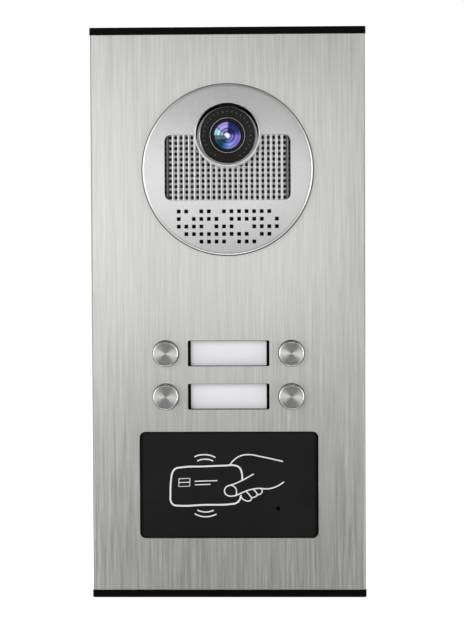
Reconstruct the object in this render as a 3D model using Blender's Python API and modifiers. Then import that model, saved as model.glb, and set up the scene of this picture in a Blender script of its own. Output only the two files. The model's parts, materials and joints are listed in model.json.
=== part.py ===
"""Door intercom panel: an extruded metal housing with a round camera and speaker bezel, four call
buttons, two name windows and a card reader, hung on a steel wall bracket.

World frame: X to the right, Z up, the front faces -Y. The wall plane is y = 0 and the origin is the
middle of the panel on that plane. Most pieces are modelled in a panel frame whose X is right, Y is up
and Z is the height above the wall, and are then turned to stand on the wall.
"""

from math import asin
from math import cos
from math import pi
from math import sin

import bmesh
import bpy

# Clearances
GAP = 0.0003
SLIDE_GAP = 0.0003

# Housing
PANEL_WIDTH = 0.140
PANEL_HEIGHT = 0.290
PANEL_DEPTH = 0.045
CAP_THICKNESS = 0.0035
CAP_OVERHANG = 0.0003
CAP_EDGE = 0.0006
CAP_LIP_DEPTH = 0.004
CAP_LIP_WALL = 0.0016
CAP_LIP_BACK = 0.016
FRONT_WALL = 0.002
SIDE_WALL = 0.0016
WALL_STANDOFF = 0.0005
FRONT_EDGE_RADIUS = 0.0015
RIB_HEIGHT = 0.0014
RIB_WIDTH = 0.0012
PORT_DEPTH = 0.0305
PORT_SIZE = 0.0066
PORT_HOLE_RADIUS = 0.0015
PORT_SLOT = 0.0014

# Rear cover, wall bracket and their hooks
COVER_BACK = 0.0113
COVER_THICKNESS = 0.0012
BRACKET_THICKNESS = 0.0015
BRACKET_SIDE_MARGIN = 0.0131
BRACKET_TOP_MARGIN = 0.030
BRACKET_TAB_REACH = 0.0105
BRACKET_TAB_WIDTH = 0.030
BRACKET_HOLE_RADIUS = 0.0025
BRACKET_HOLE_INSET = 0.013
BRACKET_HOLE_DROP = 0.020
BRACKET_HOLE_CLEAR = 0.012
CABLE_WINDOW_WIDTH = 0.060
CABLE_WINDOW_HEIGHT = 0.044
CABLE_WINDOW_RISE = 0.0125
HOOK_INSET = 0.020
HOOK_DROP = 0.030
HOOK_RISE = 0.023
HOOK_WIDTH = 0.012
HOOK_TIP_RISE = 0.004
LOCK_SCREW_DEPTH = 0.006

# Layout: how the height left over between the front's pieces is shared out
TOP_SHARE = 0.28
MIDDLE_SHARE = 0.424
ROW_PITCH = 0.02205
READER_GAP = 0.0114

# Camera and speaker bezel
BEZEL_RADIUS = 0.0436
BEZEL_SEAL_THICKNESS = 0.0006
BEZEL_SEAL_INSET = 0.0005
BEZEL_FLANGE = 0.0012
BEZEL_DOME_RISE = 0.0016
BEZEL_WALL = 0.002
SKIRT_INSET = 0.0020
SKIRT_WALL = 0.0017
SKIRT_REAR = 0.034
BOSS_RADIUS = 0.0026
RETAINER_THICKNESS = 0.0017
RETAINER_RIM = 0.0022
RETAINER_OVERLAP = 0.0046
RETAINER_LAND = 0.0025

# Lens group, measured from the bezel's centre
LENS_RISE = 0.0172
COLLAR_RADIUS = 0.0167
COLLAR_FRONT = 0.0510
COLLAR_BACK = 0.0446
COLLAR_LIP = 0.0007
FUNNEL_TAPER = 0.0011
RING_SEAT = 0.0469
RING_THICKNESS = 0.0012
RING_LEDGE = 0.0015
NOSE_WALL = 0.0006
NOSE_STEP = 0.0010
BARREL_NOSE_FRONT = 0.0482
BARREL_FLANGE_THICKNESS = 0.0015
BARREL_BACK = 0.0363
GLASS_RADIUS = 0.0071
GLASS_SEAT = 0.0450
GLASS_RISE = 0.0012
GLASS_LEDGE = 0.0016
HOUSING_SIZE = 0.024
HOUSING_LENGTH = 0.010
HOUSING_WALL = 0.0015
SENSOR_SIZE = 0.008
SENSOR_THICKNESS = 0.0012
BOARD_THICKNESS = 0.0016

# Light grille and its board
GRILLE_SIDE_MARGIN = 0.0117
GRILLE_HEIGHT = 0.0331
GRILLE_RISE = 0.00105
GRILLE_CORNER = 0.0033
GRILLE_THICKNESS = 0.0012
GRILLE_SEAT = 0.0461
GRILLE_LEDGE = 0.0016
GRILLE_FRAME_WALL = 0.002
GRILLE_COLUMNS = 24
GRILLE_ROWS = 3
GRILLE_SLOT_WIDTH = 0.0013
GRILLE_BAR = 0.0012
GRILLE_MARGIN = 0.0015
LED_BOARD_FRONT = 0.0416
LED_RADIUS = 0.0025
LED_HEIGHT = 0.0030
LED_SIDE_INSET = 0.0059
LED_ROW_RISE = -0.009
LED_SIDE_RISES = (0.011, 0.001)
LED_ROW_COUNT = 7
POST_RADIUS = 0.0014
POST_RISE = 0.008

# Speaker
SPEAKER_TOP_DROP = 0.0125
SPEAKER_RIM_MARGIN = 0.0061
SPEAKER_RIM_FRONT = 0.0398
SPEAKER_RIM = 0.0015
SPEAKER_DEPTH = 0.0118
BASKET_TAPER = 0.004
GASKET_WALL = 0.0018
SOUND_HOLE = 0.00195
SOUND_SIDE_MARGIN = 0.01877
SOUND_COLUMNS = 14
SOUND_TOP_DROP = 0.0211
SOUND_ROWS = (
    (0, 1, 3, 4, 6, 7, 8, 9, 10, 11, 12),
    (0, 2, 3, 4, 5, 7, 8, 9, 10, 11, 13),
    (0, 1, 2, 3, 5, 6, 7, 10, 11, 12, 13),
    (1, 2, 3, 4, 5, 6, 7, 8, 9, 11, 12),
    (3, 4, 5, 6, 8, 9, 10),
)

# Call buttons
BUTTON_SIDE_GAP = 0.00475
BUTTON_RADIUS = 0.00645
BUTTON_FACE = 0.0480
BUTTON_BEVEL = 0.0008
BUTTON_FLANGE = 0.00115
BUTTON_FLANGE_THICKNESS = 0.0012
BUTTON_TRAVEL = 0.0012
STEM_RADIUS = 0.0015
SPRING_RADIUS = 0.0034
SPRING_WIRE = 0.00025
SPRING_TURNS = 3
SPRING_STEPS = 8
CARRIER_FRONT = 0.0360
CARRIER_THICKNESS = 0.0015
CARRIER_MARGIN = 0.0039
CARRIER_SIDE_MARGIN = 0.0046
CARRIER_POST_RADIUS = 0.0022
CARRIER_POST_INSET = 0.0028
SWITCH_SIZE = 0.006
SWITCH_HEIGHT = 0.0027
PLUNGER_RADIUS = 0.00175
PLUNGER_RISE = 0.0009
BUTTON_BOARD_FRONT = 0.0280

# Name windows
WINDOW_WIDTH = 0.0416
WINDOW_HEIGHT = 0.0132
WINDOW_CORNER = 0.0006
WINDOW_SUNK = 0.0003
WINDOW_FLANGE = 0.0017
WINDOW_FLANGE_THICKNESS = 0.0008
CARD_WIDTH = 0.0386
CARD_THICKNESS = 0.0004
TRAY_DEPTH = 0.0036

# Card reader
READER_WIDTH = 0.0912
READER_HEIGHT = 0.0546
READER_CORNER = 0.003
READER_SUNK = 0.0004
READER_FLANGE = 0.0020
READER_FLANGE_THICKNESS = 0.0012
READER_DOT = (0.0252, -0.0121)
READER_DOT_RADIUS = 0.0006
ANTENNA_WIDTH = 0.080
ANTENNA_HEIGHT = 0.046
ANTENNA_FRONT = 0.0396
ANTENNA_TRACK = 0.004
ANTENNA_TRACK_THICKNESS = 0.0005

# Main electronics
MAIN_BOARD_BACK = 0.0200
MAIN_BOARD_HEIGHT = 0.130
MAIN_BOARD_RISE = 0.040
TERMINAL_WIDTH = 0.044
TERMINAL_HEIGHT = 0.011
TERMINAL_BACK = 0.0090
TERMINAL_WAYS = 8
RELAY_WIDTH = 0.0190
RELAY_HEIGHT = 0.0155
RELAY_RISE = 0.0140
RELAY_X = -0.035
RELAY_LIFT = 0.0075
MICROPHONE_RADIUS = 0.003
MICROPHONE_LENGTH = 0.0022
MICROPHONE_DEPTH = 0.034
BOOT_WALL = 0.0015
SOUND_PORT_RADIUS = 0.0007

# Screws
SCREW_RADIUS = 0.0012
SCREW_HEAD_RADIUS = 0.0028
SCREW_HEAD_HEIGHT = 0.0017
SCREW_LENGTH = 0.012
SMALL_SCREW_RADIUS = 0.0010
SMALL_HEAD_RADIUS = 0.0019
SMALL_HEAD_HEIGHT = 0.0014
SMALL_SCREW_LENGTH = 0.006

# Derived sizes that several pieces share
BODY_WIDTH = PANEL_WIDTH - 2 * CAP_OVERHANG
BODY_HEIGHT = PANEL_HEIGHT - 2 * (CAP_THICKNESS + GAP)
INNER_HALF = BODY_WIDTH / 2 - SIDE_WALL
WALL_BACK = PANEL_DEPTH - FRONT_WALL
BEHIND_WALL = WALL_BACK - GAP
CAP_INNER_Z = PANEL_HEIGHT / 2 - CAP_THICKNESS
COVER_FRONT = COVER_BACK + COVER_THICKNESS
PORT_X = INNER_HALF - PORT_SIZE / 2
ROWS_HEIGHT = 2 * BUTTON_RADIUS + ROW_PITCH
FREE_HEIGHT = PANEL_HEIGHT - 2 * BEZEL_RADIUS - ROWS_HEIGHT - READER_GAP - READER_HEIGHT
BEZEL_Z = PANEL_HEIGHT / 2 - TOP_SHARE * FREE_HEIGHT - BEZEL_RADIUS
FIRST_ROW_Z = BEZEL_Z - BEZEL_RADIUS - MIDDLE_SHARE * FREE_HEIGHT - BUTTON_RADIUS
ROW_HEIGHTS = (FIRST_ROW_Z, FIRST_ROW_Z - ROW_PITCH)
READER_Z = ROW_HEIGHTS[1] - BUTTON_RADIUS - READER_GAP - READER_HEIGHT / 2
CABLE_WINDOW_Z = READER_Z + CABLE_WINDOW_RISE
BRACKET_BOTTOM = -CAP_INNER_Z + 0.005
BRACKET_TOP = PANEL_HEIGHT / 2 - BRACKET_TOP_MARGIN
BRACKET_WIDTH = 2 * (INNER_HALF - BRACKET_SIDE_MARGIN)
BRACKET_HOLE_X = BRACKET_WIDTH / 2 - BRACKET_HOLE_INSET
HOOK_X = BRACKET_WIDTH / 2 - HOOK_INSET
BRACKET_HOLE_HEIGHTS = (
    BRACKET_TOP - BRACKET_HOLE_DROP,
    CABLE_WINDOW_Z - CABLE_WINDOW_HEIGHT / 2 - BRACKET_HOLE_CLEAR,
)
HOOK_HEIGHTS = (BRACKET_TOP - HOOK_DROP, CABLE_WINDOW_Z + CABLE_WINDOW_HEIGHT / 2 + HOOK_RISE)
SKIRT_RADIUS = BEZEL_RADIUS - SKIRT_INSET
BOSS_CIRCLE = SKIRT_RADIUS - BOSS_RADIUS
RETAINER_OUTER_RADIUS = SKIRT_RADIUS + RETAINER_OVERLAP
RETAINER_INNER_RADIUS = BOSS_CIRCLE - RETAINER_LAND
LENS_Z = BEZEL_Z + LENS_RISE
FUNNEL_FRONT_RADIUS = COLLAR_RADIUS - COLLAR_LIP
FUNNEL_BACK_RADIUS = FUNNEL_FRONT_RADIUS - FUNNEL_TAPER
THROAT_RADIUS = FUNNEL_BACK_RADIUS - RING_LEDGE
BARREL_FLANGE_RADIUS = COLLAR_RADIUS - GAP
BARREL_NOSE_RADIUS = GLASS_RADIUS + GAP + NOSE_WALL
BARREL_RADIUS = BARREL_NOSE_RADIUS + NOSE_STEP
APERTURE_RADIUS = GLASS_RADIUS - GLASS_LEDGE
GRILLE_WIDTH = 2 * (BEZEL_RADIUS - GRILLE_SIDE_MARGIN)
LED_SIDE_X = GRILLE_WIDTH / 2 - LED_SIDE_INSET
SPEAKER_RADIUS = (BEZEL_RADIUS - SPEAKER_RIM_MARGIN - SPEAKER_TOP_DROP) / 2
SPEAKER_Z = BEZEL_Z - SPEAKER_TOP_DROP - SPEAKER_RADIUS
MAGNET_RADIUS = SPEAKER_RADIUS - BASKET_TAPER
SOUND_PITCH = 2 * (BEZEL_RADIUS - SOUND_SIDE_MARGIN) / (SOUND_COLUMNS - 1)
BUTTON_X = WINDOW_WIDTH / 2 + BUTTON_SIDE_GAP + BUTTON_RADIUS
CARRIER_WIDTH = 2 * (BUTTON_X + BUTTON_RADIUS + CARRIER_SIDE_MARGIN)
CARRIER_TOP = ROW_HEIGHTS[0] + BUTTON_RADIUS + CARRIER_MARGIN
CARRIER_BOTTOM = ROW_HEIGHTS[1] - BUTTON_RADIUS - CARRIER_MARGIN
MAIN_BOARD_BOTTOM = -PANEL_HEIGHT / 2 + MAIN_BOARD_RISE
MAIN_BOARD_TOP = MAIN_BOARD_BOTTOM + MAIN_BOARD_HEIGHT
RELAY_Z = READER_Z + RELAY_LIFT
GASKET_FRONT = COLLAR_BACK - GAP
SEAL_BACK = PANEL_DEPTH + GAP
FLANGE_BACK = SEAL_BACK + BEZEL_SEAL_THICKNESS + GAP
FLANGE_FRONT = FLANGE_BACK + BEZEL_FLANGE
BEZEL_HOLE_RADIUS = SKIRT_RADIUS + GAP
BUTTON_HOLE_RADIUS = BUTTON_RADIUS + SLIDE_GAP
BUTTON_FLANGE_BACK = BEHIND_WALL - BUTTON_FLANGE_THICKNESS
PLUNGER_TOP = BUTTON_BOARD_FRONT + GAP + SWITCH_HEIGHT + PLUNGER_RISE
STEM_END = PLUNGER_TOP + GAP + BUTTON_TRAVEL
LED_BOARD_BACK = LED_BOARD_FRONT - BOARD_THICKNESS
BUTTON_BOARD_BACK = BUTTON_BOARD_FRONT - BOARD_THICKNESS
MAIN_BOARD_FRONT = MAIN_BOARD_BACK + BOARD_THICKNESS
WINDOW_FLANGE_BACK = BEHIND_WALL - WINDOW_FLANGE_THICKNESS
TRAY_FRONT = WINDOW_FLANGE_BACK - GAP
CARD_HEIGHT = WINDOW_HEIGHT - 4 * GAP
CARD_BACK = TRAY_FRONT - CARD_THICKNESS
CARRIER_BACK = CARRIER_FRONT - CARRIER_THICKNESS

ROUND = 36
MEDIUM = 20
SMALL = 12
TINY = 8

COLOURS = {
    "brushed_metal": ((0.62, 0.62, 0.60), 0.32, 1.0),
    "bezel_silver": ((0.66, 0.66, 0.66), 0.30, 0.6),
    "bright_steel": ((0.72, 0.72, 0.72), 0.22, 1.0),
    "zinc_steel": ((0.48, 0.49, 0.50), 0.42, 1.0),
    "black_plastic": ((0.018, 0.018, 0.020), 0.45, 0.0),
    "black_gloss": ((0.010, 0.010, 0.012), 0.12, 0.0),
    "dark_metal": ((0.05, 0.05, 0.05), 0.45, 0.8),
    "grey_plastic": ((0.30, 0.31, 0.32), 0.50, 0.0),
    "clear_plastic": ((0.85, 0.87, 0.88), 0.08, 0.0),
    "white_card": ((0.80, 0.80, 0.80), 0.80, 0.0),
    "rubber": ((0.03, 0.03, 0.03), 0.80, 0.0),
    "circuit_board": ((0.02, 0.13, 0.06), 0.45, 0.0),
    "copper": ((0.72, 0.36, 0.20), 0.35, 1.0),
    "lens_glass": ((0.10, 0.12, 0.28), 0.04, 0.0),
    "paper_cone": ((0.06, 0.06, 0.06), 0.75, 0.0),
    "terminal_green": ((0.05, 0.30, 0.12), 0.50, 0.0),
    "relay_blue": ((0.05, 0.12, 0.38), 0.40, 0.0),
    "led_clear": ((0.75, 0.78, 0.80), 0.15, 0.0),
}


def empty_scene():
    for scene_object in list(bpy.data.objects):
        bpy.data.objects.remove(scene_object, do_unlink=True)


def new_collection(name):
    collection = bpy.data.collections.new(name)
    bpy.context.scene.collection.children.link(collection)
    return collection


def material_for(name, finish):
    colour, roughness, metallic = COLOURS[finish]
    material = bpy.data.materials.new(name + "_material")
    material.use_nodes = True
    shader = material.node_tree.nodes["Principled BSDF"]
    shader.inputs["Base Color"].default_value = (*colour, 1.0)
    shader.inputs["Roughness"].default_value = roughness
    shader.inputs["Metallic"].default_value = metallic
    return material


def link_object(name, data, collection):
    made = bpy.data.objects.new(name, data)
    collection.objects.link(made)
    return made


def finish_piece(piece, finish, sharp_angle=pi / 6):
    piece.data.materials.clear()
    piece.data.materials.append(material_for(piece.name, finish))
    piece.data.shade_smooth()
    piece.data.set_sharp_from_angle(angle=sharp_angle)
    return piece


def stand_on_wall(piece, x=0.0, z=0.0, out=0.0):
    """Turns a piece from the panel frame to the wall, moved right, up and out from the wall."""
    piece.rotation_euler = (pi / 2, 0.0, 0.0)
    piece.location = (x, -out, z)
    return piece


def mesh_object(name, work, collection):
    mesh = bpy.data.meshes.new(name)
    work.to_mesh(mesh)
    work.free()
    return link_object(name, mesh, collection)


def box(name, size, centre, collection):
    """A box in its own frame, with its place in the mesh."""
    work = bmesh.new()
    bmesh.ops.create_cube(work, size=1.0)
    bmesh.ops.scale(work, vec=size, verts=work.verts)
    bmesh.ops.translate(work, vec=centre, verts=work.verts)
    return mesh_object(name, work, collection)


def cylinder(name, radius, bottom, top, centre, segments, collection, top_radius=None):
    """A cylinder or cone along the piece's own Z, between two heights."""
    work = bmesh.new()
    bmesh.ops.create_cone(
        work,
        cap_ends=True,
        segments=segments,
        radius1=radius,
        radius2=radius if top_radius is None else top_radius,
        depth=top - bottom,
    )
    bmesh.ops.translate(work, vec=(centre[0], centre[1], (top + bottom) / 2), verts=work.verts)
    return mesh_object(name, work, collection)


def turned(name, profile, segments, collection):
    """A turned piece about its own Z from (radius, height) points, down the outer side."""
    work = bmesh.new()
    corners = [work.verts.new((radius, 0.0, height)) for radius, height in profile]
    for first, second in zip(corners, corners[1:]):
        work.edges.new((first, second))
    if profile[0][0] > 0.0:
        work.edges.new((corners[-1], corners[0]))
    piece = mesh_object(name, work, collection)
    screw = piece.modifiers.new("Turn", "SCREW")
    screw.steps = segments
    screw.render_steps = segments
    screw.use_merge_vertices = True
    screw.merge_threshold = 0.00001
    return piece


def corner_arc(centre_x, centre_y, radius, start, steps):
    turn = pi / 2
    return [
        (
            centre_x + radius * cos(start + turn * step / steps),
            centre_y + radius * sin(start + turn * step / steps),
        )
        for step in range(steps + 1)
    ]


def rounded_outline(width, height, radius, steps=4, centre=(0.0, 0.0)):
    """Corner points of a rounded rectangle, counter-clockwise."""
    half_w = width / 2 - radius
    half_h = height / 2 - radius
    signs = ((1, 1), (-1, 1), (-1, -1), (1, -1))
    outline = []
    for index, (side, rise) in enumerate(signs):
        centre_x = centre[0] + side * half_w
        centre_y = centre[1] + rise * half_h
        outline += corner_arc(centre_x, centre_y, radius, index * pi / 2, steps)
    return outline


def square_outline(width, height, centre):
    half_w = width / 2
    half_h = height / 2
    signs = ((1, 1), (-1, 1), (-1, -1), (1, -1))
    return [(centre[0] + side * half_w, centre[1] + rise * half_h) for side, rise in signs]


def mesh_from_curve(curve_object, collection):
    """A curve's evaluated shape as a closed mesh object of the same name."""
    name = curve_object.name
    graph = bpy.context.evaluated_depsgraph_get()
    mesh = bpy.data.meshes.new_from_object(curve_object.evaluated_get(graph))
    place = curve_object.matrix_world.copy()
    bpy.data.objects.remove(curve_object, do_unlink=True)
    work = bmesh.new()
    work.from_mesh(mesh)
    bmesh.ops.remove_doubles(work, verts=work.verts, dist=0.000001)
    bmesh.ops.recalc_face_normals(work, faces=work.faces)
    work.to_mesh(mesh)
    work.free()
    made = link_object(name, mesh, collection)
    made.matrix_world = place
    return made


def plate(name, outlines, bottom, top, collection):
    """A flat plate between two heights; outlines after the first are holes."""
    curve = bpy.data.curves.new(name, "CURVE")
    curve.dimensions = "2D"
    curve.fill_mode = "BOTH"
    curve.extrude = (top - bottom) / 2
    for outline in outlines:
        spline = curve.splines.new("POLY")
        spline.points.add(len(outline) - 1)
        for point, (x, y) in zip(spline.points, outline):
            point.co = (x, y, 0.0, 1.0)
        spline.use_cyclic_u = True
    piece = link_object(name, curve, collection)
    bpy.context.view_layer.update()
    piece = mesh_from_curve(piece, collection)
    for vertex in piece.data.vertices:
        vertex.co.z += (top + bottom) / 2
    return piece


def hide_tool(tool, tools):
    for collection in list(tool.users_collection):
        collection.objects.unlink(tool)
    tools.objects.link(tool)
    tool.hide_render = True
    tool.display_type = "WIRE"


def combine(piece, tool, tools, operation):
    hide_tool(tool, tools)
    tool.parent = piece
    boolean = piece.modifiers.new(operation.title(), "BOOLEAN")
    boolean.operation = operation
    boolean.object = tool
    boolean.solver = "EXACT"


def cut(piece, tool, tools):
    combine(piece, tool, tools, "DIFFERENCE")


def join(piece, tool, tools):
    combine(piece, tool, tools, "UNION")


def soften(piece, width, segments=1, angle=pi / 5):
    bevel = piece.modifiers.new("Edges", "BEVEL")
    bevel.width = width
    bevel.segments = segments
    bevel.limit_method = "ANGLE"
    bevel.angle_limit = angle
    return bevel


def half_section():
    """Right half of the housing's cross-section as (x, height above the wall), front to rear to front."""
    half = BODY_WIDTH / 2
    inner = INNER_HALF
    arc_centre = (half - FRONT_EDGE_RADIUS, PANEL_DEPTH - FRONT_EDGE_RADIUS)
    steps = 4
    points = [
        (
            arc_centre[0] + FRONT_EDGE_RADIUS * sin(pi / 2 * step / steps),
            arc_centre[1] + FRONT_EDGE_RADIUS * cos(pi / 2 * step / steps),
        )
        for step in range(steps + 1)
    ]
    points += [(half, WALL_STANDOFF), (inner, WALL_STANDOFF)]
    for slot_back, slot_front in (
        (COVER_BACK - SLIDE_GAP, COVER_FRONT + SLIDE_GAP),
        (MAIN_BOARD_BACK - SLIDE_GAP, MAIN_BOARD_FRONT + SLIDE_GAP),
    ):
        tip = inner - RIB_HEIGHT
        points += [(inner, slot_back - RIB_WIDTH), (tip, slot_back - RIB_WIDTH)]
        points += [(tip, slot_back), (inner, slot_back), (inner, slot_front)]
        points += [(tip, slot_front), (tip, slot_front + RIB_WIDTH), (inner, slot_front + RIB_WIDTH)]
    port_inner = inner - PORT_SIZE
    opening = asin(PORT_SLOT / 2 / PORT_HOLE_RADIUS)
    sweep = 2 * (pi - opening)
    arc_steps = 10
    points += [(inner, PORT_DEPTH - PORT_SIZE / 2), (port_inner, PORT_DEPTH - PORT_SIZE / 2)]
    points += [(port_inner, PORT_DEPTH - PORT_SLOT / 2)]
    for step in range(arc_steps + 1):
        angle = pi + opening + sweep * step / arc_steps
        points.append(
            (
                PORT_X + PORT_HOLE_RADIUS * cos(angle),
                PORT_DEPTH + PORT_HOLE_RADIUS * sin(angle),
            )
        )
    points += [(port_inner, PORT_DEPTH + PORT_SLOT / 2)]
    points += [(port_inner, PORT_DEPTH + PORT_SIZE / 2), (inner, PORT_DEPTH + PORT_SIZE / 2)]
    points += [(inner, WALL_BACK)]
    return points


def build_front_panel(parts, tools):
    right = half_section()
    left = [(-x, height) for x, height in reversed(right)]
    outline = [(x, -height) for x, height in right + left]
    panel = plate("front_panel", [outline], -BODY_HEIGHT / 2, BODY_HEIGHT / 2, parts)
    cut_front = PANEL_DEPTH + 0.005
    cut_back = WALL_BACK - 0.002
    openings = [
        cylinder("bezel_hole", BEZEL_HOLE_RADIUS, cut_back, cut_front, (0.0, BEZEL_Z), ROUND, tools)
    ]
    for x, z in button_places():
        openings.append(
            cylinder("button_hole", BUTTON_HOLE_RADIUS, cut_back, cut_front, (x, z), MEDIUM, tools)
        )
    for z in ROW_HEIGHTS:
        outline = rounded_outline(WINDOW_WIDTH, WINDOW_HEIGHT, WINDOW_CORNER, 2, (0.0, z))
        openings.append(plate("window_hole", [outline], cut_back, cut_front, tools))
    outline = rounded_outline(READER_WIDTH, READER_HEIGHT, READER_CORNER, 4, (0.0, READER_Z))
    openings.append(plate("reader_hole", [outline], cut_back, cut_front, tools))
    for tool in openings:
        stand_on_wall(tool)
        cut(panel, tool, tools)
    finish_piece(panel, "brushed_metal")


def cap_screw_places():
    """World (x, y) of the screw ports that the end caps are screwed to."""
    return [(side * PORT_X, -PORT_DEPTH) for side in (-1, 1)]


def build_end_cap(name, top, parts, tools):
    """An end cap: a plate with a locating lip that plugs into the housing."""
    facing = 1 if top else -1
    inner_z = facing * CAP_INNER_Z
    outer_z = facing * PANEL_HEIGHT / 2
    depth = PANEL_DEPTH + CAP_OVERHANG
    outline = rounded_outline(PANEL_WIDTH, depth, FRONT_EDGE_RADIUS, 4, (0.0, -depth / 2))
    low, high = sorted((inner_z, outer_z))
    cap = plate(name, [outline], low, high, parts)
    edges = soften(cap, CAP_EDGE, 2)
    edges.use_clamp_overlap = True
    lip_half = INNER_HALF - PORT_SIZE - 2 * GAP
    lip_depth = WALL_BACK - GAP - CAP_LIP_BACK
    lip_centre = (0.0, -(CAP_LIP_BACK + lip_depth / 2))
    outer = square_outline(2 * lip_half, lip_depth, lip_centre)
    inner = square_outline(2 * (lip_half - CAP_LIP_WALL), lip_depth - 2 * CAP_LIP_WALL, lip_centre)
    lip_end = inner_z - facing * CAP_LIP_DEPTH
    lip_root = inner_z + facing * CAP_THICKNESS / 3
    low, high = sorted((lip_end, lip_root))
    join(cap, plate(name + "_lip", [outer, inner], low, high, tools), tools)
    for place in cap_screw_places():
        cut_screw_seat(cap, place, inner_z, outer_z, facing, tools)
    if not top:
        cut_screw_seat(cap, (0.0, -LOCK_SCREW_DEPTH), inner_z, outer_z, facing, tools)
        port = cylinder(
            name + "_sound_port",
            SOUND_PORT_RADIUS,
            outer_z - 0.001,
            inner_z + 0.001,
            (0.0, -MICROPHONE_DEPTH),
            TINY,
            tools,
        )
        cut(cap, port, tools)
    finish_piece(cap, "black_plastic")


def cut_screw_seat(cap, place, inner_z, outer_z, facing, tools):
    """A clearance hole and a counterbore for one cap screw, along world Z."""
    low, high = sorted((inner_z - facing * 0.001, outer_z + facing * 0.001))
    hole = cylinder(cap.name + "_hole", SCREW_RADIUS + GAP, low, high, place, TINY, tools)
    cut(cap, hole, tools)
    floor = outer_z - facing * (SCREW_HEAD_HEIGHT + 2 * GAP)
    low, high = sorted((floor, outer_z + facing * 0.001))
    sink = cylinder(cap.name + "_sink", SCREW_HEAD_RADIUS + GAP, low, high, place, SMALL, tools)
    cut(cap, sink, tools)


def screw_profile(radius, head_radius, head_height, length):
    """A pan-head screw pointing down its own -Z, the head's underside at 0."""
    dome = head_height * 0.35
    return [
        (0.0, head_height),
        (head_radius * 0.7, head_height),
        (head_radius, head_height - dome),
        (head_radius, 0.0),
        (radius, 0.0),
        (radius, -length + radius),
        (radius * 0.4, -length),
        (0.0, -length),
    ]


def make_screw(name, radius, head_radius, head_height, length, parts, tools):
    """A screw with a slot across its head."""
    profile = screw_profile(radius, head_radius, head_height, length)
    screw = turned(name, profile, TINY, parts)
    slot_size = (head_radius * 4, radius * 0.6, head_height)
    slot = box(name + "_slot", slot_size, (0.0, 0.0, head_height), tools)
    cut(screw, slot, tools)
    return screw


def build_cap_screws(parts, tools):
    number = 0
    for facing in (1, -1):
        seat_z = facing * (PANEL_HEIGHT / 2 - SCREW_HEAD_HEIGHT - GAP)
        for x, y in cap_screw_places():
            number += 1
            name = "cap_screw_" + str(number)
            screw = make_screw(
                name,
                SCREW_RADIUS,
                SCREW_HEAD_RADIUS,
                SCREW_HEAD_HEIGHT,
                SCREW_LENGTH,
                parts,
                tools,
            )
            screw.location = (x, y, seat_z)
            if facing < 0:
                screw.rotation_euler = (pi, 0.0, 0.0)
            finish_piece(screw, "dark_metal")
    lock = make_screw(
        "lock_screw",
        SCREW_RADIUS,
        SCREW_HEAD_RADIUS,
        SCREW_HEAD_HEIGHT,
        SCREW_LENGTH,
        parts,
        tools,
    )
    lock.location = (0.0, -LOCK_SCREW_DEPTH, -(PANEL_HEIGHT / 2 - SCREW_HEAD_HEIGHT - GAP))
    lock.rotation_euler = (pi, 0.0, 0.0)
    finish_piece(lock, "zinc_steel")


def hook_places():
    return [(side * HOOK_X, z) for z in HOOK_HEIGHTS for side in (-1, 1)]


def build_rear_cover(parts, tools):
    width = 2 * (INNER_HALF - SLIDE_GAP)
    outline = square_outline(width, BODY_HEIGHT, (0.0, 0.0))
    cover = plate("rear_cover", [outline], COVER_BACK, COVER_FRONT, parts)
    stand_on_wall(cover)
    slot_top = BRACKET_THICKNESS / 2 + GAP
    slot_bottom = -BRACKET_THICKNESS / 2 - HOOK_TIP_RISE - 2 * GAP
    for x, z in hook_places():
        centre = (x, z + (slot_top + slot_bottom) / 2, COVER_BACK)
        size = (HOOK_WIDTH + 4 * GAP, slot_top - slot_bottom, 4 * COVER_THICKNESS)
        cut(cover, box("hook_slot", size, centre, tools), tools)
    size = (TERMINAL_WIDTH + 4 * GAP, TERMINAL_HEIGHT + 4 * GAP, 4 * COVER_THICKNESS)
    window = box("terminal_window", size, (0.0, CABLE_WINDOW_Z, COVER_BACK), tools)
    cut(cover, window, tools)
    finish_piece(cover, "grey_plastic")


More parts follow.
